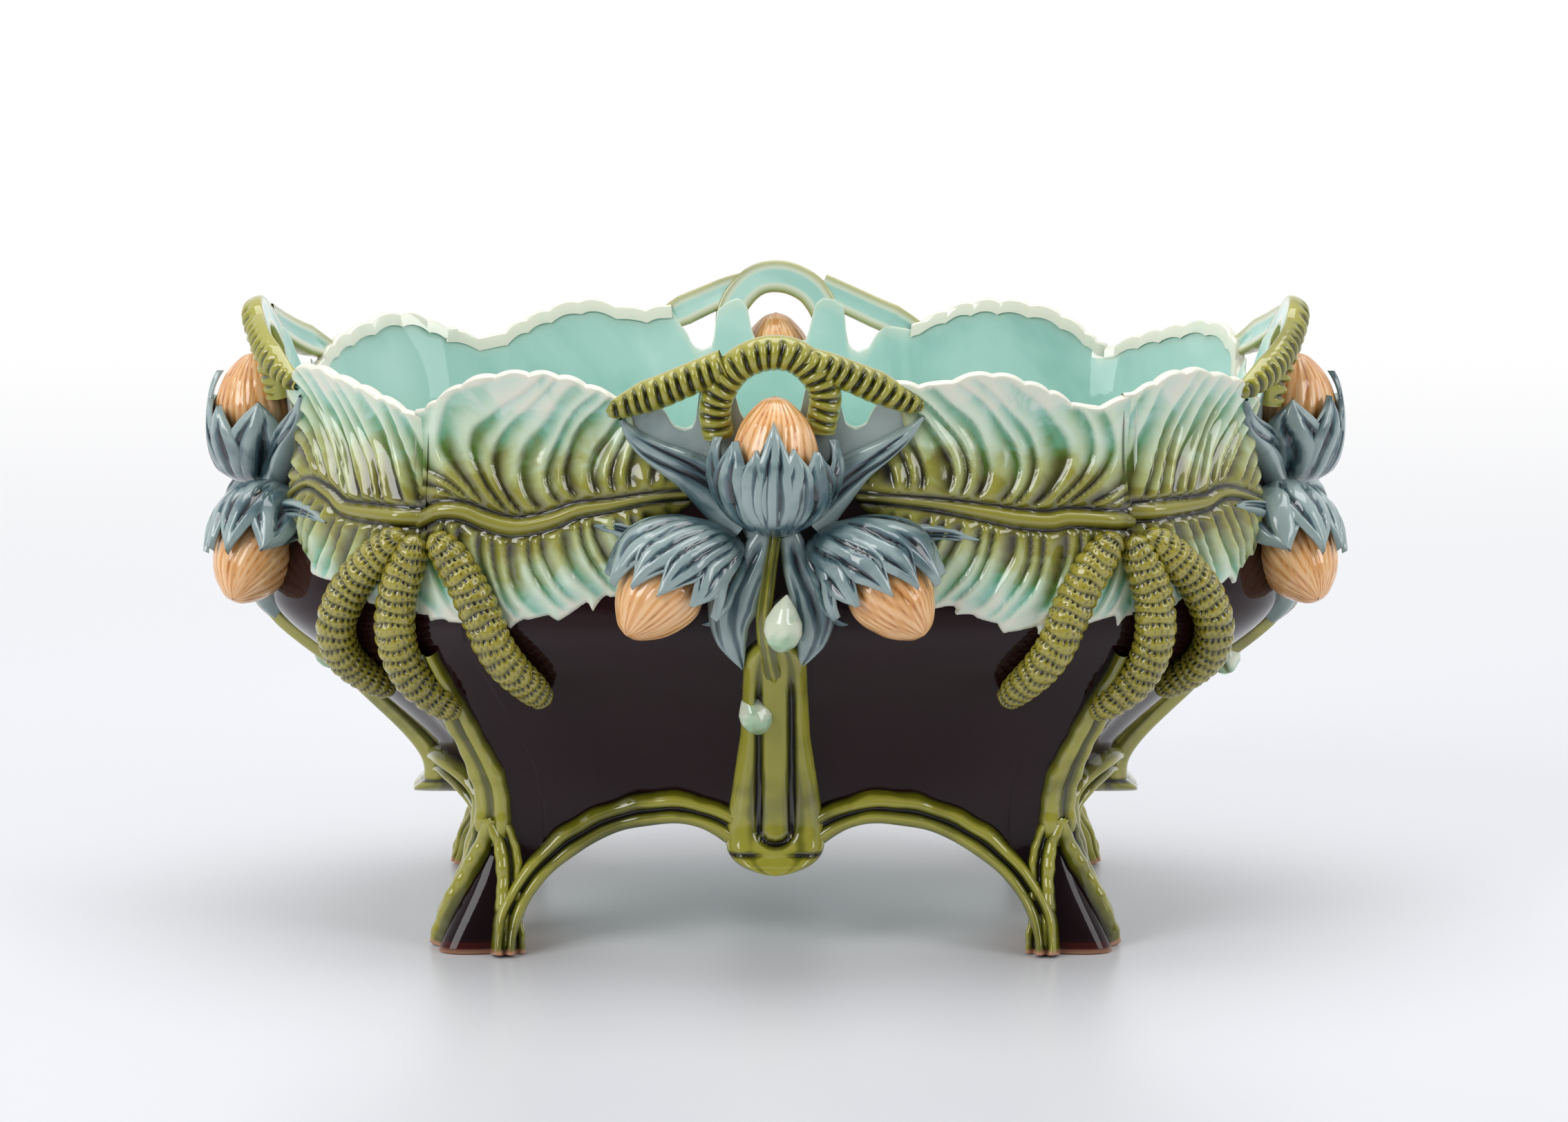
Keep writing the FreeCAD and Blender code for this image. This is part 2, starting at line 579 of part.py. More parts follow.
def make_leaves(skin):
    """The four leaves of the front half of the rim. The rear half is the same, turned round."""
    def seen(side, points, shift=0.0):
        return [side.seen(distance + shift, z) for distance, z in points]

    rim, tip, teeth = [seen(FRONT, points) for points in (LONG_LEFT_RIM, LONG_LEFT_TIP, LONG_LEFT_TEETH)]
    long_left = leaf(skin, FRONT, FRONT.smooth(rim) + FRONT.smooth(tip) + FRONT.teeth(teeth)
                     + FRONT.straight([teeth[-1], rim[0]]))
    rim, tip, teeth = [seen(FRONT, points) for points in (LONG_RIGHT_RIM, LONG_RIGHT_TIP, LONG_RIGHT_TEETH)]
    long_right = leaf(skin, FRONT, FRONT.smooth(rim) + FRONT.straight([rim[-1], teeth[0]])
                      + FRONT.teeth(teeth) + FRONT.smooth(tip))
    rim, teeth = [seen(LEFT_END, points) for points in (SHORT_LEFT_RIM, SHORT_LEFT_TEETH)]
    short_left = leaf(skin, LEFT_END, LEFT_END.smooth(rim) + LEFT_END.straight([rim[-1], teeth[0]])
                      + LEFT_END.teeth(teeth) + LEFT_END.straight([teeth[-1], rim[0]]))
    rim, teeth = [seen(RIGHT_END, points) for points in (SHORT_RIGHT_RIM, SHORT_RIGHT_TEETH)]
    short_right = leaf(skin, RIGHT_END, RIGHT_END.smooth(rim) + RIGHT_END.straight([rim[-1], teeth[0]])
                       + RIGHT_END.teeth(teeth) + RIGHT_END.straight([teeth[-1], rim[0]]))
    return long_left, long_right, short_left, short_right


# ---- catkins, nuts, husks, bracts, buds and handles -------------------------------------------------
def catkin(path):
    """A round catkin, full in the middle and rounded at both ends, lying on the wall."""
    curve = Part.BSplineCurve()
    curve.interpolate([on_wall(distance, z, CATKIN_STAND_OFF) for distance, z in path])
    first, last = curve.FirstParameter, curve.LastParameter
    rings = []
    for share, ratio in CATKIN_SWELL:
        at = first + (last - first) * share
        circle = Part.Circle(curve.value(at), Vector(*curve.tangent(at)[0]), CATKIN_RADIUS * ratio)
        rings.append(Part.Wire([circle.toShape()]))
    return Part.makeLoft(rings, True, False)


def make_catkins():
    """Three catkins at the front right corner, each clear of the one before it."""
    bed = grown(catkin_bed)
    made = []
    for path in CATKIN_PATHS:
        made.append(bare(catkin(path), bed, *made))
    return made


def placed(shape, base, axis):
    """A shape drawn up +Z from the origin, moved to its base and turned to its axis."""
    return shape.transformed(FreeCAD.Placement(base, FreeCAD.Rotation(Vector(0, 0, 1), axis)).Matrix)


def turned_profile(profile_points):
    """A solid of revolution about +Z from a smooth outline of (radius, height) points off the axis."""
    curve = Part.BSplineCurve()
    curve.interpolate([Vector(radius, 0, height) for radius, height in profile_points])
    low, high = curve.StartPoint, curve.EndPoint
    closing = Part.makePolygon([high, Vector(0, 0, high.z), Vector(0, 0, low.z), low])
    return Part.Face(Part.Wire([curve.toShape(), *closing.Edges])).revolve(Vector(), Vector(0, 0, 1), 360)


def nut_shape(extra=0.0):
    """A hazelnut standing on its base, pointed at the top, or the same grown all round."""
    radius = NUT_RADIUS + extra
    return turned_profile([(NUT_POINT, -extra), (0.66 * radius, 0.06 * NUT_LENGTH - 0.6 * extra),
                           (radius, 0.4 * NUT_LENGTH), (0.8 * radius, 0.72 * NUT_LENGTH),
                           (0.34 * radius, 0.94 * NUT_LENGTH), (NUT_POINT, NUT_LENGTH + extra)])


def nut_places(side):
    """Where the three nuts of a spray stand, and which way they point."""
    up = Vector(0, 0, 1)
    top = side.at(0.0, TOP_NUT_TIP - NUT_LENGTH, TOP_NUT_STAND_OFF)
    places = [(top, up)]
    for way in (-1.0, 1.0):
        axis = (side.right * (0.62 * way) - up * 0.7 + side.outward * 0.35).normalize()
        middle = side.at(way * SIDE_NUT_OFFSET, SIDE_NUT_HEIGHT, SIDE_NUT_STAND_OFF)
        places.append((middle - axis * (0.44 * NUT_LENGTH), axis))
    return places


def make_nuts(side, body, leaves):
    return [bare(placed(nut_shape(), *place), body, *leaves) for place in nut_places(side)]


def husk_shape():
    """The cup that holds a nut: the nut's own shape, thicker, and cut off level at the cup's depth."""
    reach = 2 * (NUT_RADIUS + HUSK_THICKNESS)
    return nut_shape(HUSK_THICKNESS).cut(Part.makeCylinder(reach, NUT_LENGTH, Vector(0, 0, HUSK_DEPTH)))


def make_husks(side, skin, body, leaves, nuts):
    """A cup round each nut, and a petal on each side of the top one."""
    cups = []
    for place, nut in zip(nut_places(side), nuts):
        cups.append(bare(placed(husk_shape(), *place), body, nut, *leaves))
    petals = []
    for outline in (PETAL_LEFT, PETAL_RIGHT):
        points = side.near(outline)
        edges = side.smooth(points[:4]) + side.smooth(points[3:]) + side.straight([points[-1], points[0]])
        petals.append(bare(skin.common(side.prism(edges)), cups[0], nuts[0]))
    return Part.makeCompound(cups + petals)


def make_bracts(side, body, *neighbours):
    """The two bracts that hang below a spray, in one piece."""
    points = side.near(BRACT_OUTLINE)
    skin = grown(lambda z: BRACT_THICKNESS)
    outline = side.smooth(points[:4]) + side.smooth(points[3:]) + side.straight([points[-1], points[0]])
    return bare(skin.common(side.prism(outline)), body, *neighbours)


def make_buds(side, body, *neighbours):
    """Two small round buds: one between the bracts and one on the rib below."""
    buds = []
    for distance, z, width, length in BUDS:
        radius = width / 2
        bud = turned_profile([(NUT_POINT, -length / 2), (0.8 * radius, -0.32 * length), (radius, 0.0),
                              (0.75 * radius, 0.3 * length), (NUT_POINT, length / 2)])
        place = side.at(distance, z, BUD_STAND_OFF)
        buds.append(bare(placed(bud, place, Vector(0, 0, 1)), body, *neighbours))
    return buds


def rounded_path(points):
    """Straight runs joined by tangent arcs."""
    edges = []
    start = points[0]
    for before, corner, after in zip(points, points[1:], points[2:]):
        back = before - corner
        onward = after - corner
        trim = ARC_SHARE * min(back.Length, onward.Length)
        back.normalize()
        onward.normalize()
        half_turn = back.getAngle(onward) / 2
        bisector = (back + onward).normalize()
        enter = corner + back * trim
        leave = corner + onward * trim
        radius = trim * math.tan(half_turn)
        middle = corner + bisector * (radius / math.sin(half_turn) - radius)
        edges.append(Part.LineSegment(start, enter).toShape())
        edges.append(Part.Arc(enter, middle, leave).toShape())
        start = leave
    edges.append(Part.LineSegment(start, points[-1]).toShape())
    return Part.Wire(edges)


def make_handle(side, *neighbours):
    """The twig that arches over the three holes in the lip."""
    path = rounded_path([side.at(distance, z, HANDLE_SIT) for distance, z in HANDLE_PATH])
    start = path.Edges[0].valueAt(path.Edges[0].FirstParameter)
    heading = path.Edges[0].tangentAt(path.Edges[0].FirstParameter)
    ring = Part.Wire([Part.Circle(start, heading, HANDLE_RADIUS).toShape()])
    return bare(path.makePipeShell([ring], True, False), *neighbours)


# ---- assembly ----------------------------------------------------------------------------------------
def make_spray(side, lip_wall, skin, body, leaves, rib):
    """Everything at the middle of one side: nuts, husks, bracts, buds and handle."""
    nuts = make_nuts(side, body, leaves)
    husks = make_husks(side, skin, body, leaves, nuts)
    bracts = make_bracts(side, body, husks, rib, *nuts, *leaves)
    buds = make_buds(side, body, bracts, rib)
    handle = make_handle(side, lip_wall, husks, *nuts, *leaves)
    return {"nuts": Part.makeCompound(nuts), "husks": husks, "bracts": bracts,
            "buds": Part.makeCompound(buds), "handle": handle}


def make_jardiniere():
    """Every piece by name."""
    body = grown(lambda z: 0.0)
    inside = grown(inner_growth)
    leaf_skin = grown(leaf_growth).cut(body)
    above_ground = Part.makeBox(2 * REACH, 2 * REACH, REACH, Vector(-REACH, -REACH, BARE_FOOT))
    low_skin = grown(moulding_growth).common(above_ground).cut(body)
    low_deep = grown(lambda z: moulding_growth(z) - MOULDING_GROOVE_DEPTH)
    petal_skin = grown(lambda z: PETAL_THICKNESS).cut(grown(lambda z: BED_CLEARANCE + leaf_growth(z)))

    pieces = make_walls(body.cut(inside))
    pieces.update(make_floor(inside))
    pieces.update(make_foot_blocks(inside))

    long_left, long_right, short_left, short_right = make_leaves(leaf_skin)
    named = {"leaf_long_front_left": long_left, "leaf_long_front_right": long_right,
             "leaf_short_left_end_front": short_left, "leaf_short_right_end_front": short_right}
    far_names = {"front_left": "rear_right", "front_right": "rear_left",
                 "left_end_front": "right_end_rear", "right_end_front": "left_end_rear"}
    for name, piece in list(named.items()):
        near = next(place for place in far_names if name.endswith(place))
        named[name.replace(near, far_names[near])] = turned(piece)
    pieces.update(named)

    catkins = make_catkins()
    pieces.update(four_corners("catkins", Part.makeCompound(catkins)))

    mouldings = []
    for arch, toe, leaves, wall, near_name, far_name in (
            (FRONT_ARCH, CENTRE_RIB_TOE_HEIGHT, (long_left, long_right), "wall_front", "front", "rear"),
            (END_ARCH, END_RIB_TOE_HEIGHT, (short_right, turned(short_left)), "wall_right_end",
             "right_end", "left_end")):
        rib = make_centre_rib(arch.side, toe, body)
        left, right = make_mouldings(arch, low_skin, low_deep, rib)
        mouldings += [left, right]
        near = {"centre_rib": rib, "arch_moulding_left": left, "arch_moulding_right": right}
        near.update(make_spray(arch.side, pieces[wall], petal_skin, body, leaves, rib))
        for kind, piece in near.items():
            pieces[f"{kind}_{near_name}"] = piece
            pieces[f"{kind}_{far_name}"] = turned(piece)

    corner_rib = make_corner_rib(low_skin, mouldings, catkins)
    pieces.update(four_corners("corner_rib", corner_rib))
    return pieces


def main():
    os.makedirs("parts", exist_ok=True)
    for name, piece in make_jardiniere().items():
        if not piece.isValid():
            print("not valid:", name)
        piece.exportStep(os.path.join("parts", name + ".step"))
        print(f"{name}: {len(piece.Solids)} solid, {piece.Volume / 1000:.1f} cm3")


if __name__ == "__main__":
    main()
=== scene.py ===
"""Looks of a four-footed majolica jardiniere: pressed leaves, husked nuts, catkins and twig mouldings.

Every piece is a relief laid on one wall surface. A place on that surface is given by the distance round the
bowl from the middle of the front, in millimetres, and by the height above the ground.
"""

import json
import logging
import math
from dataclasses import dataclass, field
from enum import Enum
from typing import Callable, Dict, List, Optional, Sequence, Tuple

import bmesh
import bpy
import numpy as np
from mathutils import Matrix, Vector
from mathutils.geometry import delaunay_2d_cdt

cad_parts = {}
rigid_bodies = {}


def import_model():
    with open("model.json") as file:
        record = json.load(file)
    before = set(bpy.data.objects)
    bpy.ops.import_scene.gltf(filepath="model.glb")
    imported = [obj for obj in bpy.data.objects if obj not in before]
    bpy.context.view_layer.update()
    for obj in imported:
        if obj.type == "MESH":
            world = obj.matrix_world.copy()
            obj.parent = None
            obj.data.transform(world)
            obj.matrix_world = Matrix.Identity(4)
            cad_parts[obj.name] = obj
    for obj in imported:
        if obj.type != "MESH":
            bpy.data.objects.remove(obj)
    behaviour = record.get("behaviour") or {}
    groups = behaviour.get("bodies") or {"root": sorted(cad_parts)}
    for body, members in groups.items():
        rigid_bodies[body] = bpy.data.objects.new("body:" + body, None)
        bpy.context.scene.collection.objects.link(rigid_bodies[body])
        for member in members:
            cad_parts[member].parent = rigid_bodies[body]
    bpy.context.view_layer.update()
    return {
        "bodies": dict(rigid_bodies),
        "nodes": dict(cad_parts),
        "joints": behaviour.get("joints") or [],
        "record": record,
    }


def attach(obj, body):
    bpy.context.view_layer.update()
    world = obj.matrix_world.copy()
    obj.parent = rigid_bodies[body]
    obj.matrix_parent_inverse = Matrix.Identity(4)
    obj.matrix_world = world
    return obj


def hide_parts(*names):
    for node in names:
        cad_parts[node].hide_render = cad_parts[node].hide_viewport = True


LOG = logging.getLogger("jardiniere")
MM = 0.001
Places = Sequence[Tuple[float, float]]
Array = np.ndarray


def linear(hex_colour: str) -> Tuple[float, float, float, float]:
    """Turns an sRGB hex colour into linear light.

    Args:
        hex_colour: A colour such as "#7f7f2a".

    Returns:
        Red, green, blue and a full alpha.
    """
    channels = [int(hex_colour[i:i + 2], 16) / 255.0 for i in (1, 3, 5)]
    light = [c / 12.92 if c <= 0.04045 else ((c + 0.055) / 1.055) ** 2.4 for c in channels]
    return (light[0], light[1], light[2], 1.0)


def smooth_curve(points: Places, count: int) -> Array:
    """Samples a smooth curve through a few points, evenly by length.

    Args:
        points: The places the curve runs through.
        count: How many samples to take.

    Returns:
        An array of count rows, one per sample.
    """
    knots = np.asarray(points, dtype=float)
    if len(knots) < 3:
        steps = np.linspace(0.0, 1.0, count)[:, None]
        return knots[0] * (1 - steps) + knots[-1] * steps
    padded = np.vstack([2 * knots[0] - knots[1], knots, 2 * knots[-1] - knots[-2]])
    fine = []
    for a, b, c, d in zip(padded, padded[1:], padded[2:], padded[3:]):
        t = np.linspace(0.0, 1.0, 24, endpoint=False)[:, None]
        fine.append(0.5 * (2 * b + (c - a) * t + (2 * a - 5 * b + 4 * c - d) * t**2
                           + (3 * b - 3 * c + d - a) * t**3))
    line = np.vstack(fine + [knots[-1:]])
    run = np.concatenate([[0.0], np.cumsum(np.linalg.norm(np.diff(line, axis=0), axis=1))])
    stops = np.linspace(0.0, run[-1], count)
    return np.stack([np.interp(stops, run, line[:, k]) for k in range(line.shape[1])], axis=1)


def smooth_step(value: Array, low: float, high: float) -> Array:
    """Runs from 0 at low to 1 at high with flat ends."""
    t = np.clip((value - low) / (high - low), 0.0, 1.0)
    return t * t * (3 - 2 * t)


def rounded(value: Array, power: float = 0.6) -> Array:
    """A row of round ridges with sharp grooves at whole numbers, from 0 to 1."""
    return np.abs(np.sin(math.pi * value)) ** power


# ---- the wall surface ----------------------------------------------------------------------------------


@dataclass(frozen=True)
class Level:
    """One level of the bowl's outer wall, in millimetres."""

    height: float
    half_length: float
    half_depth: float
    corner: float


@dataclass
class WallSurface:
    """The outside of the bowl: an oval plan, squared and swollen at its four corners, level by level."""

    levels: Tuple[Level, ...] = (
        Level(0.0, 122.0, 72.0, 138.0), Level(42.0, 116.5, 66.0, 119.0), Level(60.0, 121.0, 69.0, 120.5),
        Level(85.0, 146.0, 81.0, 133.0), Level(118.0, 179.5, 101.5, 148.0),
        Level(172.0, 171.5, 95.5, 145.0), Level(224.0, 184.0, 104.5, 150.0),
    )
    squareness: float = 2.5
    corner_sharpness: float = 20.0
    corner_angle: float = math.radians(35.0)
    spray_height: float = 150.0
    table: Tuple[Array, Array] = field(init=False)

    def __post_init__(self) -> None:
        """Measures the way round the wall at the spray's height."""
        angles = np.radians(np.linspace(-90.0, 270.0, 1441))
        reach = self.radius(angles, np.full_like(angles, self.spray_height))
        ring = np.stack([reach * np.cos(angles), reach * np.sin(angles)], axis=1)
        run = np.concatenate([[0.0], np.cumsum(np.linalg.norm(np.diff(ring, axis=0), axis=1))])
        self.table = (run, angles)

    @property
    def perimeter(self) -> float:
        """Length of the way round, in millimetres."""
        return float(self.table[0][-1])

    @property
    def corner(self) -> float:
        """Distance round from the middle of the front to its right corner."""
        return float(np.interp(-self.corner_angle, self.table[1], self.table[0]))

    def profile(self, name: str, z: Array) -> Array:
        """A level's value at any height, on a smooth curve that never overshoots its levels.

        Args:
            name: The level's field to read.
            z: Heights.

        Returns:
            The value at each height.
        """
        heights = np.array([level.height for level in self.levels])
        values = np.array([getattr(level, name) for level in self.levels])
        steps, rises = np.diff(heights), np.diff(values) / np.diff(heights)
        slopes = np.zeros(len(values))
        slopes[0], slopes[-1] = rises[0], rises[-1]
        turning = rises[:-1] * rises[1:] > 0
        blend = (rises[:-1] * steps[:-1] + rises[1:] * steps[1:]) / (steps[:-1] + steps[1:])
        slopes[1:-1] = np.where(turning, blend, 0.0)
        i = np.clip(np.searchsorted(heights, z, side="right") - 1, 0, len(steps) - 1)
        t = (z - heights[i]) / steps[i]
        return ((2 * t**3 - 3 * t**2 + 1) * values[i] + (t**3 - 2 * t**2 + t) * steps[i] * slopes[i]
                + (3 * t**2 - 2 * t**3) * values[i + 1] + (t**3 - t**2) * steps[i] * slopes[i + 1])

    def oval(self, angle: Array, half_length: Array, half_depth: Array) -> Array:
        """Distance from the middle to the squared oval.

        Args:
            angle: Directions, in radians.
            half_length: Half the oval's length.
            half_depth: Half its depth.

        Returns:
            Distances in millimetres.
        """
        along = np.abs(np.cos(angle) / half_length)
        across = np.abs(np.sin(angle) / half_depth)
        return (along**self.squareness + across**self.squareness) ** (-1.0 / self.squareness)

    def radius(self, angle: Array, z: Array) -> Array:
        """Distance from the middle to the wall, corners included.

        Args:
            angle: Directions, in radians.
            z: Heights.

        Returns:
            Distances in millimetres.
        """
        half_length, half_depth = self.profile("half_length", z), self.profile("half_depth", z)
        turned = np.arctan2(np.abs(np.sin(angle)), np.abs(np.cos(angle)) * math.tan(self.corner_angle))
        weight = np.sin(2 * turned) ** self.corner_sharpness
        corner = np.full_like(z, self.corner_angle)
        swelling = self.profile("corner", z) / self.oval(corner, half_length, half_depth) - 1.0
        return self.oval(angle, half_length, half_depth) * (1.0 + weight * swelling)

    def angle(self, distance: Array) -> Array:
        """The direction of the point this far round from the middle of the front."""
        return np.interp(np.mod(distance, self.perimeter), *self.table)

    def point(self, distance: Array, z: Array, outside: Array) -> Array:
        """Points on the wall, moved out by a radial amount.

        Args:
            distance: Distances round the wall.
            z: Heights.
            outside: How far out from the wall, in millimetres.

        Returns:
            Points in millimetres, with x, y and z in the last axis.
        """
        distance, z, outside = np.broadcast_arrays(*(np.asarray(v, dtype=float)
                                                     for v in (distance, z, outside)))
        angle = self.angle(distance)
        reach = self.radius(angle, z) + outside
        return np.stack([reach * np.cos(angle), reach * np.sin(angle), z], axis=-1)

    def relief(self, distance: Array, z: Array, height: Array) -> Array:
        """Points that stand off the wall along its own normal.

        Args:
            distance: Distances round the wall.
            z: Heights.
            height: How far the points stand off.

        Returns:
            Points in millimetres.
        """
        distance, z, height = np.broadcast_arrays(*(np.asarray(v, dtype=float)
                                                    for v in (distance, z, height)))
        step = 0.6
        along = self.point(distance + step, z, 0.0) - self.point(distance - step, z, 0.0)
        upward = self.point(distance, z + step, 0.0) - self.point(distance, z - step, 0.0)
        normal = np.cross(along, upward)
        normal /= np.maximum(np.linalg.norm(normal, axis=-1, keepdims=True), 1e-9)
        return self.point(distance, z, 0.0) + normal * height[..., None]

    def drawn(self, quarter: int, h: Array, z: Array) -> Array:
        """Distance round of the point that shows at h to the right of a side's middle, seen square on.

        Args:
            quarter: The side, counted round from the front.
            h: Distances to the right of its middle.
            z: Heights.

        Returns:
            Distances round the wall.
        """
        h, z = np.broadcast_arrays(np.asarray(h, dtype=float), np.asarray(z, dtype=float))
        middle = quarter * self.perimeter / 4
        outward = self.angle(np.array(middle))
        right = np.array([-math.sin(outward), math.cos(outward)])
        low, high = np.full(h.shape, -160.0), np.full(h.shape, 160.0)
        for _ in range(40):
            halfway = (low + high) / 2
            seen = self.point(middle + halfway, z, 0.0)[..., :2] @ right
            low = np.where(seen < h, halfway, low)
            high = np.where(seen < h, high, halfway)
        return middle + (low + high) / 2


WALL = WallSurface()
HALF_TURN = WALL.perimeter / 2


# ---- meshes --------------------------------------------------------------------------------------------


LIMITS = (203.2, 127.1)
EASE = 8.0


def kept_within(points: Array) -> Array:
    """Eases points that come near the outer size of the pot back inside it, and keeps them off the ground.

    Args:
        points: Places in millimetres.

    Returns:
        The places, with only those near the limits moved.
    """
    kept = points.copy()
    for axis, limit in enumerate(LIMITS):
        over = np.abs(points[:, axis]) - (limit - EASE)
        kept[:, axis] = np.where(over > 0, np.sign(points[:, axis])
                                 * (limit - EASE + EASE * np.tanh(over / EASE)),
                                 points[:, axis])
    kept[:, 2] = np.maximum(kept[:, 2], 0.0)
    return kept


def kept_outside(points: Array, depth: float) -> Array:
    """Brings points that would come through the wall back to a set depth below its skin.

    Args:
        points: Places in millimetres.
        depth: The deepest that a piece is bedded in the wall, in millimetres.

    Returns:
        The places, with only the deeper ones moved out.
    """
    reach = np.hypot(points[:, 0], points[:, 1])
    bed = np.interp(points[:, 2], (150.0, 185.0), (depth, 0.6))
    least = WALL.radius(np.arctan2(points[:, 1], points[:, 0]), points[:, 2]) - bed
    kept = points.copy()
    kept[:, :2] *= np.maximum(1.0, least / np.maximum(reach, 1.0))[:, None]
    return kept


@dataclass
class Clay:
    """Gathers the nets of one piece, with a few values per vertex that its glaze reads."""

    points: List[Array] = field(default_factory=list)
    quads: List[Array] = field(default_factory=list)
    triangles: List[Array] = field(default_factory=list)
    values: Dict[str, List[Array]] = field(default_factory=dict)
    count: int = 0
    bedding: Optional[float] = None

    def add(self, points: Array, faces: Array, **values: Array) -> None:
        """Adds a net.

        Args:
            points: Vertices in millimetres, one per row.
            faces: Three or four vertex numbers per row.
            values: A value per vertex for each named attribute, or one value for all.

        Returns:
            Nothing.
        """
        rows = points.reshape(-1, 3)
        (self.quads if faces.shape[1] == 4 else self.triangles).append(faces + self.count)
        for name in set(self.values) | set(values):
            earlier = self.values.setdefault(name, [np.zeros(self.count)] if self.count else [])
            earlier.append(np.broadcast_to(values.get(name, 0.0),
                                           points.shape[:-1]).reshape(-1).astype(float))
        self.points.append(rows)
        self.count += len(rows)

    def net(self, points: Array, closed: bool = False, flip: bool = False, **values: Array) -> None:
        """Adds a grid of points as quads.

        Args:
            points: Rows by columns by three.
            closed: Whether the last column joins the first.
            flip: Whether the faces turn their outside the other way.
            values: Attributes, rows by columns.

        Returns:
            Nothing.
        """
        rows, columns = points.shape[:2]
        numbers = np.arange(rows * columns).reshape(rows, columns)
        if closed:
            numbers = np.concatenate([numbers, numbers[:, :1]], axis=1)
        a, b, c, d = numbers[:-1, :-1], numbers[:-1, 1:], numbers[1:, 1:], numbers[1:, :-1]
        faces = np.stack([a, b, c, d] if not flip else [a, d, c, b], axis=-1).reshape(-1, 4)
        self.add(points, faces, **values)

    def build(self, name: str, glaze: bpy.types.Material, replaces: Sequence[str],
              slot: str) -> bpy.types.Object:
        """Makes the object, joins its nets where they meet and ties it to the frame.

        Args:
            name: Name of the new object.
            glaze: Its material.
            replaces: CAD nodes that it stands for.
            slot: The record's material slot; not used.

        Returns:
            The new object.
        """
        mesh = bpy.data.meshes.new(name)
        points = kept_within(np.concatenate(self.points))
        if self.bedding is not None:
            points = kept_outside(points, self.bedding)
        points = points * MM
        corners = [faces.reshape(-1) for faces in self.quads] + [faces.reshape(-1)
                                                                 for faces in self.triangles]
        loops = np.concatenate(corners)
        quads = sum(len(faces) for faces in self.quads)
        triangles = sum(len(faces) for faces in self.triangles)
        starts = np.concatenate([np.arange(quads) * 4, quads * 4 + np.arange(triangles) * 3])
        mesh.vertices.add(len(points))
        mesh.vertices.foreach_set("co", points.astype(np.float32).reshape(-1))
        mesh.loops.add(len(loops))
        mesh.loops.foreach_set("vertex_index", loops.astype(np.int32))
        mesh.polygons.add(len(starts))
        mesh.polygons.foreach_set("loop_start", starts.astype(np.int32))
        mesh.update(calc_edges=True)
        for key, parts in self.values.items():
            layer = mesh.attributes.new(key, "FLOAT", "POINT")
            layer.data.foreach_set("value", np.concatenate(parts).astype(np.float32))
        mesh.validate()
        welded = bmesh.new()
        welded.from_mesh(mesh)
        bmesh.ops.remove_doubles(welded, verts=welded.verts, dist=0.00002)
        welded.to_mesh(mesh)
        welded.free()
        mesh.polygons.foreach_set("use_smooth", [True] * len(mesh.polygons))
        mesh.materials.append(glaze)
        piece = bpy.data.objects.new(name, mesh)
        bpy.context.collection.objects.link(piece)
        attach(piece, "root")
        if replaces:
            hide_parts(*replaces)
        LOG.info("%s: %d vertices", name, len(mesh.vertices))
        return piece


def inside_outline(points: Array, outline: Array) -> Array:
    """Tells which points lie inside a closed outline.

    Args:
        points: Places to test, one per row.
        outline: The outline's corners, one per row.

    Returns:
        True for each point inside.
    """
    x, y = points[:, 0][:, None], points[:, 1][:, None]
    ax, ay = outline[:, 0], outline[:, 1]
    bx, by = np.roll(ax, -1), np.roll(ay, -1)
    crosses = (ay > y) != (by > y)
    with np.errstate(divide="ignore", invalid="ignore"):
        at = ax + (y - ay) * (bx - ax) / (by - ay)
    return (np.sum(crosses & (x < at), axis=1) % 2) == 1


def line_distance(points: Array, line: Array) -> Array:
    """Distance from each point to an open line of straight runs.

    Args:
        points: Places, one per row.
        line: The line's corners, one per row.

    Returns:
        A distance per point.
    """
    start, run = line[:-1], np.diff(line, axis=0)
    nearest = np.full(len(points), 1e9)
    length = np.maximum((run**2).sum(axis=1), 1e-12)
    for first in range(0, len(points), 2000):
        some = points[first:first + 2000]
        share = np.clip(((some[:, None] - start) * run).sum(-1) / length, 0.0, 1.0)
        gap = some[:, None] - start - share[..., None] * run
        nearest[first:first + 2000] = np.sqrt((gap**2).sum(-1)).min(axis=1)
    return nearest


def fill_outline(outline: Array, spacing: float) -> Tuple[Array, Array]:
    """Fills a closed outline with an even net of triangles.

    Args:
        outline: The outline's corners in order, each once.
        spacing: Distance between the net's points.

    Returns:
        The net's points and its triangles.
    """
    low, high = outline.min(axis=0), outline.max(axis=0)
    rows = np.arange(low[1], high[1], spacing * 0.87)
    columns = np.arange(low[0], high[0], spacing)
    x, y = np.meshgrid(columns, rows)
    x = x + (np.arange(len(rows)) % 2)[:, None] * spacing / 2
    grid = np.stack([x.reshape(-1), y.reshape(-1)], axis=1)
    grid = grid[inside_outline(grid, outline)]
    grid = grid[line_distance(grid, np.vstack([outline, outline[:1]])) > 0.4 * spacing]
    places = [Vector(p) for p in np.vstack([outline, grid])]
    made = delaunay_2d_cdt(places, [], [list(range(len(outline)))], 1, 1e-5)
    return np.array([tuple(p) for p in made[0]]), np.array(made[2])


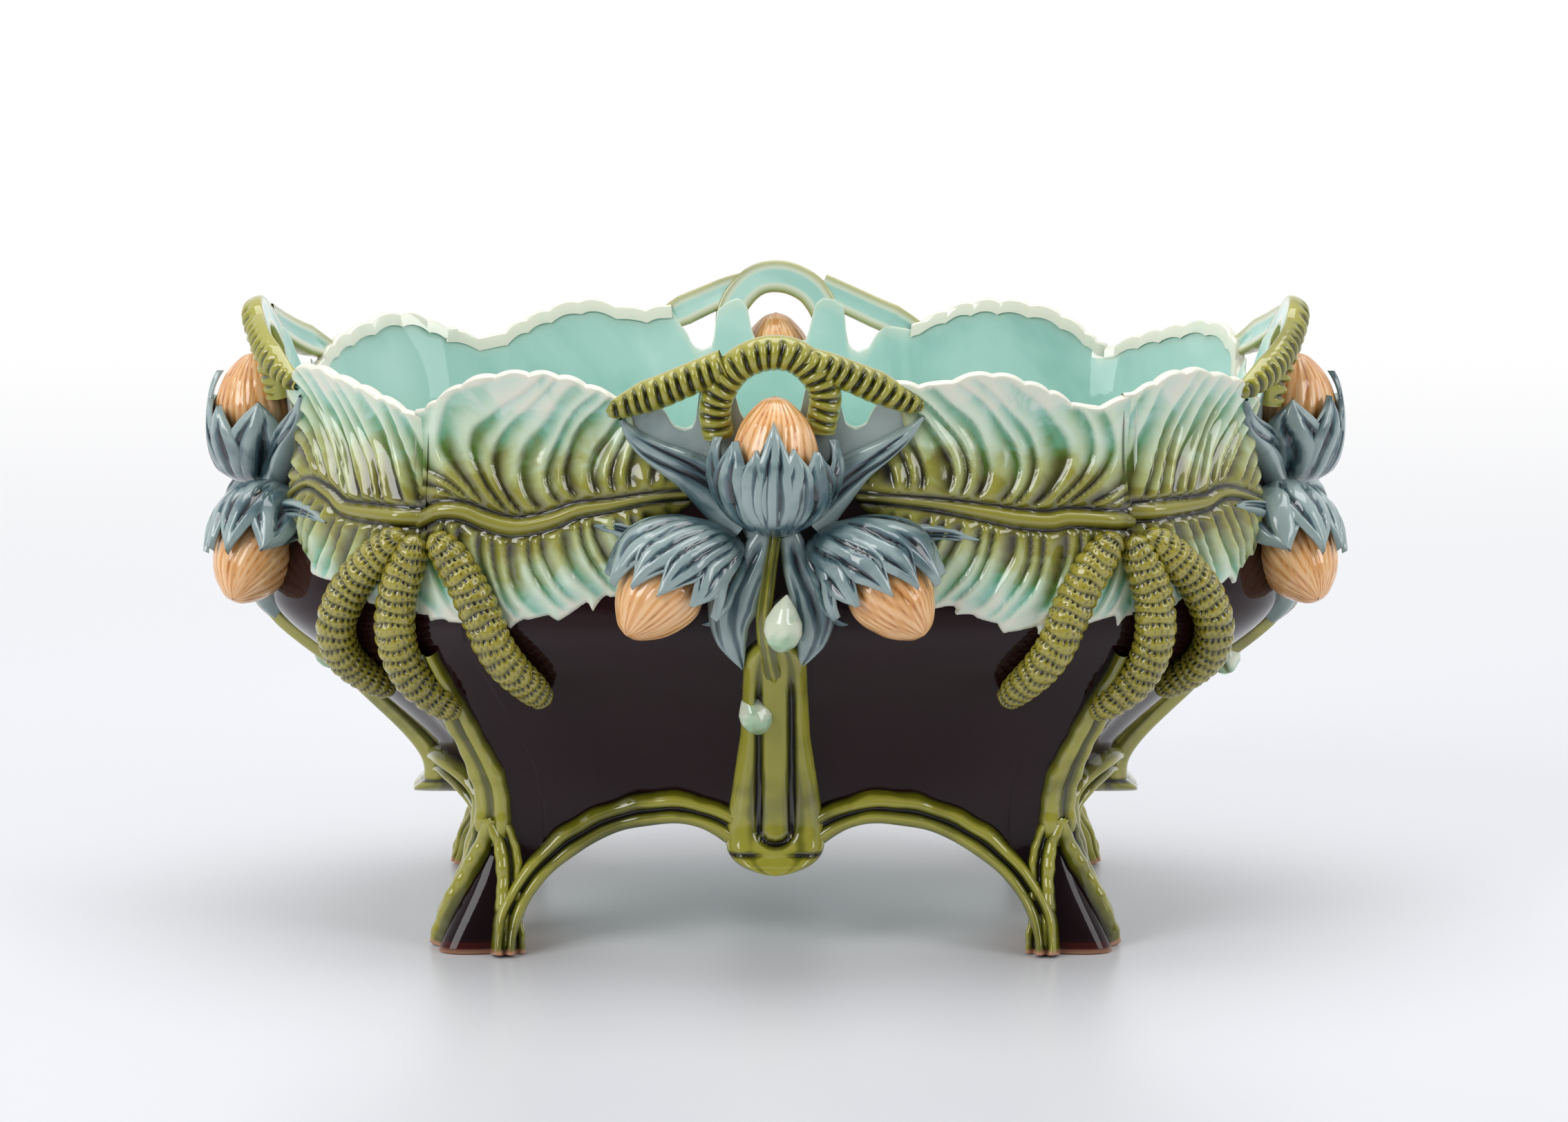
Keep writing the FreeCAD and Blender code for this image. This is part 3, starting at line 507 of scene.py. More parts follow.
def serrated(points: Places, depth: float, pitch: float) -> Array:
    """Cuts a smooth edge into pointed lobes that lean forward along it.

    Args:
        points: The edge, drawn so that its outside lies on its left.
        depth: How far a tooth stands out.
        pitch: Length of a tooth.

    Returns:
        The cut edge, as close points.
    """
    rough = smooth_curve(points, 400)
    length = float(np.linalg.norm(np.diff(rough, axis=0), axis=1).sum())
    line = smooth_curve(points, max(int(length / 0.7), 8))
    run = np.linspace(0.0, length, len(line))
    heading = np.gradient(line, axis=0)
    heading /= np.linalg.norm(heading, axis=1, keepdims=True)
    left = np.stack([-heading[:, 1], heading[:, 0]], axis=1)
    phase = run / pitch + 0.25 * np.sin(run * 0.21)
    share = phase - np.floor(phase)
    size = depth * (0.55 + 0.45 * np.cos(1.9 * np.floor(phase)))
    tooth = np.where(share < 0.78, (share / 0.78) ** 1.6, (1.0 - share) / 0.22)
    ends = smooth_step(run, 0.0, 5.0) * smooth_step(length - run, 0.0, 5.0)
    return line + (left * 1.0 + heading * 0.35) * (tooth * size * ends)[:, None]


@dataclass
class Blade:
    """A tube, tongue or twig laid along a line on the wall.

    The section's size is given along the line: its half width, how far its face stands out and how deep it
    reaches. A relief adds to the face.
    """

    path: Places
    half_width: Places
    face: Places
    back: float = -1.0
    steps: int = 80
    around: int = 48
    flatness: float = 0.8

    def lay(self, clay: Clay, middle: float, relief: Callable[[Array, Array, Array], Tuple[Array, Array]],
            extra: Optional[Callable[[Array, Array], Dict[str, Array]]] = None) -> None:
        """Adds the blade to a piece.

        Args:
            clay: The piece.
            middle: Distance round the bowl that the path is drawn from.
            relief: From share of length, place across and length in millimetres to height and pooled glaze.
            extra: From share of length and place across to more attributes.

        Returns:
            Nothing.
        """
        line = smooth_curve(self.path, self.steps)
        share = np.linspace(0.0, 1.0, self.steps)
        distance, z = line[:, 0] + middle, line[:, 1]
        ahead, behind = WALL.point(distance + 0.5, z, 0.0), WALL.point(distance - 0.5, z, 0.0)
        stretch = np.linalg.norm(ahead - behind, axis=-1)
        flat = np.stack([np.gradient(line[:, 0]) * stretch, np.gradient(z)], axis=1)
        run = np.concatenate([[0.0], np.cumsum(np.linalg.norm(flat, axis=1)[1:])])
        flat /= np.maximum(np.linalg.norm(flat, axis=1, keepdims=True), 1e-9)
        turn = np.linspace(0.0, 2 * math.pi, self.around, endpoint=False)
        across, out = np.sin(turn), np.cos(turn)
        wide = np.interp(share, *np.transpose(self.half_width))[:, None]
        tall = np.interp(share, *np.transpose(self.face))[:, None]
        u = np.sign(across) * np.abs(across) ** self.flatness
        height, pool = relief(share[:, None], u[None, :], run[:, None] + 0 * u[None, :])
        front = np.clip(out, 0.0, 1.0)[None, :] ** self.flatness
        rear = np.clip(-out, 0.0, 1.0)[None, :] ** self.flatness
        outside = front * (tall + height) + rear * self.back
        side = u[None, :] * wide
        at = distance[:, None] - flat[:, 1:] * side / stretch[:, None]
        up = z[:, None] + flat[:, :1] * side
        values = {"pool": pool * smooth_step(front, 0.0, 0.35), "inside": smooth_step(rear, 0.1, 0.5)}
        if extra:
            values.update(extra(share[:, None] + 0 * u[None, :], u[None, :] + 0 * share[:, None]))
        clay.net(WALL.relief(at, np.maximum(up, 0.1), outside), closed=True, flip=True, **values)


# ---- glazes --------------------------------------------------------------------------------------------


def add_node(tree: bpy.types.NodeTree, kind: str, **settings: object) -> bpy.types.Node:
    """Adds a node and sets its properties and sockets.

    Args:
        tree: The material's node tree.
        kind: The node's type name without its "ShaderNode" start.
        settings: Properties, or sockets by name with spaces as underscores. A socket value links.

    Returns:
        The new node.
    """
    node = tree.nodes.new("ShaderNode" + kind)
    for key, value in settings.items():
        if hasattr(node, key):
            setattr(node, key, value)
            continue
        name = key.replace("_", " ")
        socket = node.inputs[int(name[1:])] if name[0] == "i" and name[1:].isdigit() else node.inputs[name]
        if isinstance(value, bpy.types.NodeSocket):
            tree.links.new(value, socket)
        else:
            socket.default_value = value
    return node


def add_ramp(tree: bpy.types.NodeTree, factor: bpy.types.NodeSocket,
             stops: Sequence[Tuple[float, str]]) -> bpy.types.NodeSocket:
    """Adds a colour ramp and returns its colour output.

    Args:
        tree: The material's nodes.
        factor: What the ramp reads.
        stops: Position and sRGB hex of each colour.

    Returns:
        The ramp's colour output.
    """
    ramp = add_node(tree, "ValToRGB", Fac=factor)
    ramp.color_ramp.interpolation = "EASE"
    marks = ramp.color_ramp.elements
    marks[0].position, marks[0].color = stops[0][0], linear(stops[0][1])
    marks[1].position, marks[1].color = stops[-1][0], linear(stops[-1][1])
    for place, colour in stops[1:-1]:
        mark = marks.new(place)
        mark.color = linear(colour)
    return ramp.outputs["Color"]


class Ground(Enum):
    """What a second colour on a piece is: the turquoise lining or the bare foot."""

    LINING = "inside"
    NONE = "none"


@dataclass(frozen=True)
class LeadGlaze:
    """Fired lead glaze over relief: thin and light on the ridges, pooled and dark in the grooves.

    crest, body and pool are its colours by depth of glaze. streak is the spacing, in millimetres, of the
    brushed streaks, and wander how much the depth of glaze varies without any relief below it.
    """

    name: str
    crest: str
    body: str
    pool: str
    wander: float = 0.35
    streak: float = 9.0
    roughness: float = 0.09
    ground: Ground = Ground.NONE
    dimple: float = 0.12
    coat: float = 0.5
    shine: float = 0.5

    def depth(self, tree: bpy.types.NodeTree) -> bpy.types.NodeSocket:
        """The depth of glaze at a point, from 0 to 1.

        Args:
            tree: The material's nodes.

        Returns:
            The socket that gives the depth.
        """
        place = add_node(tree, "TexCoord").outputs["Object"]
        pool = add_node(tree, "Attribute", attribute_name="pool").outputs["Fac"]
        drift = add_node(tree, "TexNoise", Vector=place, Scale=1000.0 / self.streak / 3.0, Detail=3.0,
                         Roughness=0.55, Distortion=0.4)
        swing = add_node(tree, "MapRange", Value=drift.outputs["Fac"], From_Min=0.3, From_Max=0.7,
                         To_Min=-self.wander / 2, To_Max=self.wander / 2)
        return add_node(tree, "Math", operation="ADD", use_clamp=True, i0=pool,
                        i1=swing.outputs["Result"]).outputs["Value"]

    def colour(self, tree: bpy.types.NodeTree) -> bpy.types.NodeSocket:
        """The colour of the glaze by its depth."""
        return add_ramp(tree, self.depth(tree), ((0.0, self.crest), (0.32, self.body), (0.95, self.pool)))

    def build(self) -> bpy.types.Material:
        """Makes the material.

        Returns:
            The material: a coloured glaze under a clear glossy surface with faint dimples.
        """
        material = bpy.data.materials.new(self.name)
        material.use_nodes = True
        tree = material.node_tree
        tree.nodes.clear()
        colour = self.colour(tree)
        if self.ground is Ground.LINING:
            colour = self.lined(tree, colour)
        place = add_node(tree, "TexCoord").outputs["Object"]
        ripple = add_node(tree, "TexNoise", Vector=place, Scale=160.0, Detail=2.0, Roughness=0.5)
        grain = add_node(tree, "TexNoise", Vector=place, Scale=900.0, Detail=2.0)
        both = add_node(tree, "Math", operation="MULTIPLY_ADD", i0=grain.outputs["Fac"], i1=0.12,
                        i2=ripple.outputs["Fac"])
        bump = add_node(tree, "Bump", Strength=self.dimple, Distance=0.0009, Height=both.outputs["Value"])
        gloss = add_node(tree, "MapRange", Value=ripple.outputs["Fac"], From_Min=0.35, From_Max=0.65,
                         To_Min=self.roughness * 0.7, To_Max=self.roughness * 1.7)
        surface = add_node(tree, "BsdfPrincipled", Base_Color=colour, Roughness=gloss.outputs["Result"],
                           IOR=1.55,
                           Specular_IOR_Level=self.shine, Coat_Weight=self.coat, Coat_Roughness=0.04,
                           Coat_IOR=1.55, Normal=bump.outputs["Normal"])
        output = add_node(tree, "OutputMaterial")
        tree.links.new(surface.outputs["BSDF"], output.inputs["Surface"])
        return material

    def lined(self, tree: bpy.types.NodeTree, outside: bpy.types.NodeSocket) -> bpy.types.NodeSocket:
        """Puts turquoise lining on the inside, cream where it thins at the rim, and bare clay on the foot. On
        the handles the cream edge is partly a painted highlight.

        Args:
            tree: The material's node tree.
            outside: Colour of the outer glaze.

        Returns:
            The mixed colour.
        """
        place = add_node(tree, "TexCoord").outputs["Object"]
        cloud = add_node(tree, "TexNoise", Vector=place, Scale=14.0, Detail=4.0, Roughness=0.6,
                         Distortion=0.8)
        lining = add_ramp(tree, cloud.outputs["Fac"],
                          ((0.32, "#93bfb4"), (0.5, "#a8cfc4"), (0.68, "#c0dfd5")))
        edge = add_node(tree, "Attribute", attribute_name="edge").outputs["Fac"]
        rim = add_node(tree, "Mix", data_type="RGBA", Factor=edge, i6=lining, i7=linear("#dfe0cd"))
        veil = add_ramp(tree, cloud.outputs["Fac"], ((0.3, "#6f8790"), (0.5, "#a3b2b0"), (0.7, "#c9d2c8")))
        spray = add_node(tree, "Attribute", attribute_name="spray").outputs["Fac"]
        outside = add_node(tree, "Mix", data_type="RGBA", Factor=spray, i6=outside, i7=veil).outputs["Result"]
        inside = add_node(tree, "Attribute", attribute_name="inside").outputs["Fac"]
        mixed = add_node(tree, "Mix", data_type="RGBA", Factor=inside, i6=outside, i7=rim.outputs["Result"])
        clay = add_node(tree, "Attribute", attribute_name="clay").outputs["Fac"]
        bare = add_node(tree, "Mix", data_type="RGBA", Factor=clay, i6=mixed.outputs["Result"],
                        i7=linear("#b98668"))
        return bare.outputs["Result"]


@dataclass(frozen=True)
class LeafGlaze(LeadGlaze):
    """Three glazes run together: olive at the midrib, green on the blade, turquoise cream at the rim."""

    def colour(self, tree: bpy.types.NodeTree) -> bpy.types.NodeSocket:
        """The colour by place on the leaf and by depth of glaze.

        Args:
            tree: The material's nodes.

        Returns:
            The socket that gives the colour.
        """
        depth = self.depth(tree)
        place = add_node(tree, "TexCoord").outputs["Object"]
        rise = add_node(tree, "Attribute", attribute_name="rise").outputs["Fac"]
        flow = add_node(tree, "TexNoise", Vector=place, Scale=70.0, Detail=3.0, Distortion=0.7)
        run = add_node(tree, "MapRange", Value=flow.outputs["Fac"], From_Min=0.3, From_Max=0.7,
                       To_Min=-0.17, To_Max=0.17)
        where = add_node(tree, "Math", operation="ADD", use_clamp=True, i0=rise,
                         i1=run.outputs["Result"]).outputs["Value"]
        crests = add_ramp(tree, where, ((0.0, "#88842f"), (0.2, "#98963f"), (0.38, "#b3bb7c"),
                                        (0.58, "#c6d8b8"),
                                        (0.8, "#cfe0cb"), (1.0, "#dedecd")))
        pools = add_ramp(tree, where, ((0.0, "#120d08"), (0.18, "#26200a"), (0.36, "#454612"),
                                       (0.54, "#55752f"),
                                       (0.7, "#5d9c76"), (0.87, "#8cc0ae"), (1.0, "#c2d9cc")))
        blade = add_node(tree, "Mix", data_type="RGBA", Factor=depth, i6=crests, i7=pools)
        rib = add_node(tree, "Attribute", attribute_name="rib").outputs["Fac"]
        ribs = add_ramp(tree, depth, ((0.0, "#8f8a34"), (0.4, "#74702a"), (0.9, "#15110a")))
        ribbed = add_node(tree, "Mix", data_type="RGBA", Factor=rib, i6=blade.outputs["Result"], i7=ribs)
        edge = add_node(tree, "Attribute", attribute_name="edge").outputs["Fac"]
        rim = add_node(tree, "Mix", data_type="RGBA", Factor=edge, i6=ribbed.outputs["Result"],
                       i7=linear("#e2dfcd"))
        return rim.outputs["Result"]


@dataclass(frozen=True)
class BareClay(LeadGlaze):
    """Unglazed fired clay: matt, warm and finely pitted, where the pot stands on the kiln shelf."""

    roughness: float = 0.75


GLAZES = (
    # Iron and manganese glaze: near black where thick, red-brown along every edge it has run off.
    LeadGlaze("aubergine_glaze_poured", "#5f2013", "#210b0f", "#14070b", wander=0.15, streak=60.0,
              roughness=0.04, ground=Ground.LINING, dimple=0.05, coat=0.0, shine=0.26),
    # Turquoise tin glaze of the lining: cloudy pale green-blue.
    LeadGlaze("turquoise_lining_glaze", "#a9d6c8", "#8ec4b6", "#6fa898", wander=0.5, streak=60.0),
    # Turquoise, cream and olive glazes laid wet side by side: they run into one another down the folds.
    LeafGlaze("leaf_glazes_run_together", "#bfdcc2", "#6f9a5f", "#15100a", wander=0.3, streak=7.0,
              dimple=0.1),
    # Olive glaze over the twig mouldings: yellow on the ridges, black-brown in the tool marks.
    LeadGlaze("olive_twig_glaze", "#9c9836", "#626212", "#151006", wander=0.5, streak=12.0,
              ground=Ground.LINING),
    # Blue-grey cobalt wash over the husks: pale where wiped, ink-dark in the cuts.
    LeadGlaze("husk_cobalt_glaze", "#93a5a4", "#4a646b", "#10181f", wander=0.6, streak=9.0, roughness=0.12),
    # Apricot slip under clear glaze: brushed streaks run from the nut's point to its base.
    LeadGlaze("nut_apricot_glaze", "#f0c08b", "#dfa263", "#a8652e", wander=0.3, streak=8.0, roughness=0.12),
    # Mustard glaze over the catkins: it breaks pale on the rings and sits near black in the pricked holes.
    LeadGlaze("catkin_mustard_glaze", "#9f9535", "#7c7520", "#0f0b05", wander=0.35, streak=6.0,
              roughness=0.13),
    # Thin green-white glaze over the buds: milky, with olive gathered at the foot of each.
    LeadGlaze("bud_pale_glaze", "#dbe3cc", "#a3c4a0", "#66702a", wander=0.7, streak=5.0),
    # Earthenware left bare where the feet stand: matt, warm and finely pitted.
    BareClay("unglazed_foot_clay", "#cfa083", "#bd8a6b", "#8f5f45", wander=0.6, streak=5.0, dimple=0.5),
)


# ---- the bowl ------------------------------------------------------------------------------------------

CORNER = WALL.corner
LONG_LEFT_RIM = ((-121.4, 187.5), (-117, 193), (-102, 201.5), (-84, 204.5), (-68, 203), (-50, 195))
LONG_RIGHT_RIM = ((38, 202), (52, 201), (70, 204.5), (90, 199), (106, 192), (121.4, 195.5))
SHORT_LEFT_RIM = ((-192, 182), (-184, 196), (-168, 201.5), (-150, 198), (-134, 193), (-121.6, 187.5))
SHORT_RIGHT_RIM = ((121.6, 195.5), (133, 201), (144, 202.5), (160, 199), (176, 194), (192, 184))
PIERCING = ((-48, 195.5), (-44, 196), (-40, 196.5), (-37, 193), (-35, 188.5), (-31, 187), (-27.5, 188.5),
            (-26, 194),
            (-25, 203), (-21, 206), (-17, 206.5), (-14, 204), (-12.5, 195), (-11, 191), (7.5, 191), (9, 195),
            (10.5, 204), (13.5, 206.5), (17.5, 205), (21.5, 202), (22.5, 194), (24, 189), (27.5, 187.5),
            (31, 189),
            (33, 194), (36, 198))
FRONT_ARCH = ((0, 32), (9, 32.5), (13.5, 35), (17, 37.5), (21, 40.3), (26, 42.7), (33, 44.2), (41, 43.6),
              (54, 41), (66, 35.5), (78, 27), (86, 17), (90, 7), (91, 0))
END_ARCH = ((0, 46), (6, 46.3), (10, 48), (14, 50), (19, 51.7), (24, 52), (30, 50), (37, 45), (44, 36.5),
            (50, 25), (53.6, 12), (55, 0))


def scalloped(points: Places) -> Array:
    """A rim edge with a shallow lobe at the end of every fold of its leaf.

    Args:
        points: Distance round the wall and height of each knot.

    Returns:
        The edge, distance and height per row.
    """
    line = smooth_curve(points, 120)
    run = np.concatenate([[0.0], np.cumsum(np.linalg.norm(np.diff(line, axis=0), axis=1))])
    lobes = rounded(run / 11.0 + 0.15 * np.sin(run * 0.11), 0.7) - 0.75
    ends = smooth_step(run, 0.0, 6.0) * smooth_step(run[-1] - run, 0.0, 6.0)
    line[:, 1] += 1.3 * lobes * ends
    return line


@dataclass
class Bowl:
    """The pierced bowl: outer wall down to the four feet, rolled lip and turquoise lining."""

    wall: float = 7.0
    lip: float = 1.6
    lip_from: float = 150.0
    rows_outside: int = 110
    rows_inside: int = 80
    column: float = 1.25

    def lip_height(self, distance: Array) -> Array:
        """Height of the wall's top edge at each distance round.

        Args:
            distance: Distances round the wall.

        Returns:
            A height per distance.
        """
        quarter = WALL.perimeter / 4
        parts = [scalloped(LONG_LEFT_RIM), np.array(PIERCING, float), scalloped(LONG_RIGHT_RIM),
                 scalloped(SHORT_RIGHT_RIM), np.array(PIERCING[1:], float) + (quarter, 0.0),
                 scalloped(SHORT_LEFT_RIM) + (HALF_TURN, 0.0)]
        line = np.vstack(parts)
        line = line[np.argsort(line[:, 0], kind="stable")]
        start = -WALL.perimeter / 8
        ring = np.vstack([line - (HALF_TURN, 0), line, line + (HALF_TURN, 0)])
        folded = np.mod(distance - start, HALF_TURN) + start
        return np.interp(folded, ring[:, 0], ring[:, 1])

    def foot_height(self, distance: Array) -> Array:
        """Height of the wall's lower edge: the arches, and the ground between them.

        Args:
            distance: Distances round the wall.

        Returns:
            A height per distance.
        """
        low = np.zeros_like(distance)
        for quarter in range(4):
            arch = np.array(END_ARCH if quarter % 2 else FRONT_ARCH, float)
            mirrored = arch[::-1] * (-1, 1)
            line = np.vstack([mirrored, arch[1:]])
            middle = quarter * WALL.perimeter / 4
            place = WALL.drawn(quarter, line[:, 0], line[:, 1]) - middle
            offset = np.mod(distance - middle + HALF_TURN, WALL.perimeter) - HALF_TURN
            inside = (offset > place[0]) & (offset < place[-1])
            low = np.where(inside, np.interp(offset, place, line[:, 1]), low)
        return low

    def inner(self, z: Array) -> Array:
        """How deep the lining lies behind the outer face."""
        return -(self.wall + (self.lip - self.wall) * smooth_step(z, self.lip_from, 196.0))

    def columns(self) -> Array:
        """Distances of the columns, closer together beside the feet.

        Returns:
            The distances, in rising order.
        """
        even = np.arange(0.0, WALL.perimeter, self.column)
        more = []
        for quarter in range(4):
            span = END_ARCH[-1][0] if quarter % 2 else FRONT_ARCH[-1][0]
            near = np.concatenate([span - np.array([6, 5, 4, 3, 2.4, 1.8, 1.3, 0.9, 0.6, 0.4, 0.2, 0.05])])
            for way in (-1, 1):
                more.append(WALL.drawn(quarter, way * near, np.zeros(len(near))) % WALL.perimeter)
        return np.unique(np.round(np.concatenate([even, *more]), 3))

    def build(self, kiln: Dict[str, bpy.types.Material]) -> List[bpy.types.Object]:
        """Throws the bowl.

        Args:
            kiln: Materials by name.

        Returns:
            The bowl.
        """
        distance = self.columns()
        top, low = self.lip_height(distance) - 1.0, self.foot_height(distance) + 0.4
        up = np.linspace(0.0, 1.0, self.rows_outside)[:, None]
        outer_z = low + (top - 1.0 - low) * up
        outer = WALL.relief(distance[None, :], outer_z, np.zeros_like(outer_z) - 0.9
                            * smooth_step(outer_z, 176, 192))
        turn = np.linspace(0.0, math.pi, 9)[1:-1, None]
        depth = -self.inner(top)[None, :]
        lip_z = top - 1.0 + 1.0 * np.sin(turn)
        lip = WALL.relief(distance[None, :], lip_z, -0.9 - (depth - 0.9) * (1 - np.cos(turn)) / 2)
        down = np.linspace(0.0, 1.0, self.rows_inside)[:, None]
        inner_z = (top - 1.0) + (low - top + 1.0) * down
        inner = WALL.relief(distance[None, :], inner_z, self.inner(inner_z))
        sole = WALL.relief(distance[None, :], np.maximum(low - 0.3, 0.0)[None, :] + np.zeros((1, 1)),
                           np.array([[-3.5]]))
        rows = np.concatenate([outer, lip, inner, sole, outer[:1]], axis=0)
        inside = np.concatenate([np.zeros(outer_z.shape), np.ones(lip_z.shape), np.ones(inner_z.shape),
                                 np.zeros((2, len(distance)))])
        below = np.concatenate([np.zeros((len(outer_z) + len(lip_z), len(distance))),
                                1 - smooth_step(inner_z, 52.0, 57.0), np.zeros((2, len(distance)))])
        edge = np.concatenate([np.zeros(outer_z.shape), np.ones(lip_z.shape) * 0.6,
                               (1 - smooth_step(top - inner_z, 1.0, 6.0)) * 0.4,
                               np.zeros((2, len(distance)))])
        pool = 0.45 + 0.3 * smooth_step(rows[..., 2], 60.0, 30.0)
        pool = np.where(rows[..., 2] < 4.0, 0.2, pool)
        clay = Clay()
        quarter = WALL.perimeter / 4
        from_middle = np.abs(np.mod(distance + quarter / 2, quarter) - quarter / 2)[None, :]
        spray = smooth_step(rows[..., 2], 170, 178) * (1 - smooth_step(from_middle, 46, 54))
        clay.net(rows, closed=True, inside=inside * (1 - below), edge=edge, pool=pool, spray=spray,
                 clay=1 - smooth_step(rows[..., 2], 0.8, 1.8))
        walls = ("wall_front", "wall_rear", "wall_right_end", "wall_left_end")
        return [clay.build("bowl_wall", kiln["aubergine_glaze_poured"], walls, "aubergine_glaze")]


# ---- leaves --------------------------------------------------------------------------------------------


@dataclass
class Leaf:
    """A pressed hazel leaf: serrated below, folded along its side veins, rolled over the bowl's lip above."""

    name: str
    rim: Places
    tip: Places
    teeth: Places
    midrib: Places
    corner_distance: float
    long: bool
    spacing: float = 0.9
    fold_height: float = 1.9
    seed: float = 0.0
    overlap: float = 2.4

    @property
    def side(self) -> float:
        """Which way the blade runs from its corner: 1 or -1."""
        return math.copysign(1.0, self.rim[len(self.rim) // 2][0] - self.corner_distance)

    def outline(self) -> Tuple[Array, Array, int]:
        """The leaf's edge, clockwise, its free part, and how many points lie on the rim.

        Returns:
            The edge, its free part, and the count of rim points.
        """
        rim = scalloped(self.rim)
        rim[:, 1] += 0.2
        tip = smooth_curve(self.tip, 60) if len(self.tip) else np.zeros((0, 2))
        teeth = serrated(self.teeth, 4.2, 9.5)
        if len(tip) and np.linalg.norm(tip[-1] - rim[0]) < 3:
            free = np.vstack([teeth, tip])
            edge = np.vstack([rim, teeth, tip[1:-1]])
        else:
            free = np.vstack([tip, teeth]) if len(tip) else teeth
            edge = np.vstack([rim, tip[1:-1] if len(tip) else tip, teeth])
        at_corner = np.abs(edge[:, 0] - self.corner_distance) < 1.2
        edge[:, 0] = np.where(at_corner, self.corner_distance - self.overlap * self.side, edge[:, 0])
        return edge, free, len(rim)

    def folds(self, along: Array, share: Array, below: Array) -> Tuple[Array, Array]:
        """The folds of the blade between its side veins.

        Args:
            along: Distance from the corner towards the tip.
            share: Share of the way from the midrib to the edge.
            below: Whether the point lies below the midrib.

        Returns:
            Height of the folds and depth of the pooled glaze, from 0 to 1.
        """
        if self.long:
            upper = (along + 120.75 * share - 72 * share**2) / (1 + 1.25 * share)
            lower = (along + 12 * share - 22 * share**2) / (1 + 0.2 * share)
        else:
            upper = (along - 10 * share - 8 * share**2) / (1 + 0.5 * share)
            lower = (along - 10 * share) / (1 + 0.15 * share)
        phase = np.where(below, lower / 5.6, upper / 5.4) + self.seed
        phase = phase + 0.16 * np.sin(2.3 * phase + 5 * self.seed) + 0.05 * np.sin(along * 0.33 + share * 4)
        t = phase - np.floor(phase)
        rise = smooth_step(t, 0.04, 0.80) ** 0.9
        fold = np.where(t < 0.80, rise, 1.0 - smooth_step(t, 0.80, 1.0))
        return fold, (1.0 - fold) ** 1.25

    def surface(self, place: Array, free: Array) -> Tuple[Array, Dict[str, Array]]:
        """Height of the leaf above the wall, and what its glaze reads.

        Args:
            place: Distance round and height of each point.
            free: The free part of the edge.

        Returns:
            Heights, and the values by name.
        """
        s, z = place[:, 0], place[:, 1]
        rib = smooth_curve(self.midrib, 120)
        rib = rib[np.argsort(rib[:, 0])]
        rise = z - np.interp(s, rib[:, 0], rib[:, 1])
        away = line_distance(place, rib)
        along = np.abs(s - self.corner_distance)
        ends = (self.corner_distance, self.midrib[0][0])
        tip_gap = np.abs(s - ends[1])
        below = rise < 0
        share = np.where(below, -rise / 36.0, rise / 44.0)
        fold, pool = self.folds(along, share, below)
        near = smooth_step(away, 2.5, 7.0)
        edge_gap = line_distance(place, free)
        strength = (near * smooth_step(along, 0.5, 6.0) * (1.0 - 0.72 * smooth_step(share, 0.45, 1.0))
                    * smooth_step(edge_gap, 0.5, 5.0))
        base = 1.9 + 3.6 * np.exp(-((z - 156.0) / 26.0) ** 2) * smooth_step(edge_gap, 0.0, 9.0)
        cup = 0.9 * np.sin(np.clip(share, 0, 1) * math.pi) ** 2
        taper = 0.42 + 0.43 * smooth_step(tip_gap, 5.0, 60.0)
        midrib = 2.2 * taper * np.exp(-((away / (2.5 * taper)) ** 4))
        gutter = np.exp(-(((away - 4.1 * taper) / 1.15) ** 2))
        joint = smooth_step(along, 0.0, 8.0)
        height = base - cup + self.fold_height * (fold - 0.4) * strength + midrib - 1.5 * gutter * taper
        height *= np.sqrt(1.0 - (1.0 - np.clip(edge_gap / 1.6, 0.0, 1.0)) ** 2)
        height *= 0.62 + 0.38 * joint
        height -= 0.55 * np.maximum(0.0, (self.corner_distance - s) * self.side)
        olive = smooth_step(tip_gap, 0.0, 30.0) if self.long else smooth_step(tip_gap, -4.0, 14.0)
        values = {
            "rise": np.clip(share, 0, 1) * (0.35 + 0.65 * olive) * np.where(below, 1.05, 1.0),
            # pool: glaze pooled in the folds and in the midrib's gutter. The last term, 0.3 * (1 - joint)
            # near the midrib, is painted shade in the crease at the corner where this leaf meets its
            # neighbour.
            "pool": np.clip(np.maximum(pool * near * (1 - 0.3 * smooth_step(share, 0.7, 1.0)), gutter)
                            + 0.3 * (1 - joint) * (1 - smooth_step(share, 0.3, 0.8)), 0, 1),
            "rib": 1.0 - smooth_step(away, 3.0 * taper, 5.4 * taper),
            "edge": (1.0 - smooth_step(edge_gap, 0.2, 2.2)) * 0.55 * smooth_step(share, 0.5, 0.9),
        }
        return height - 0.35, values

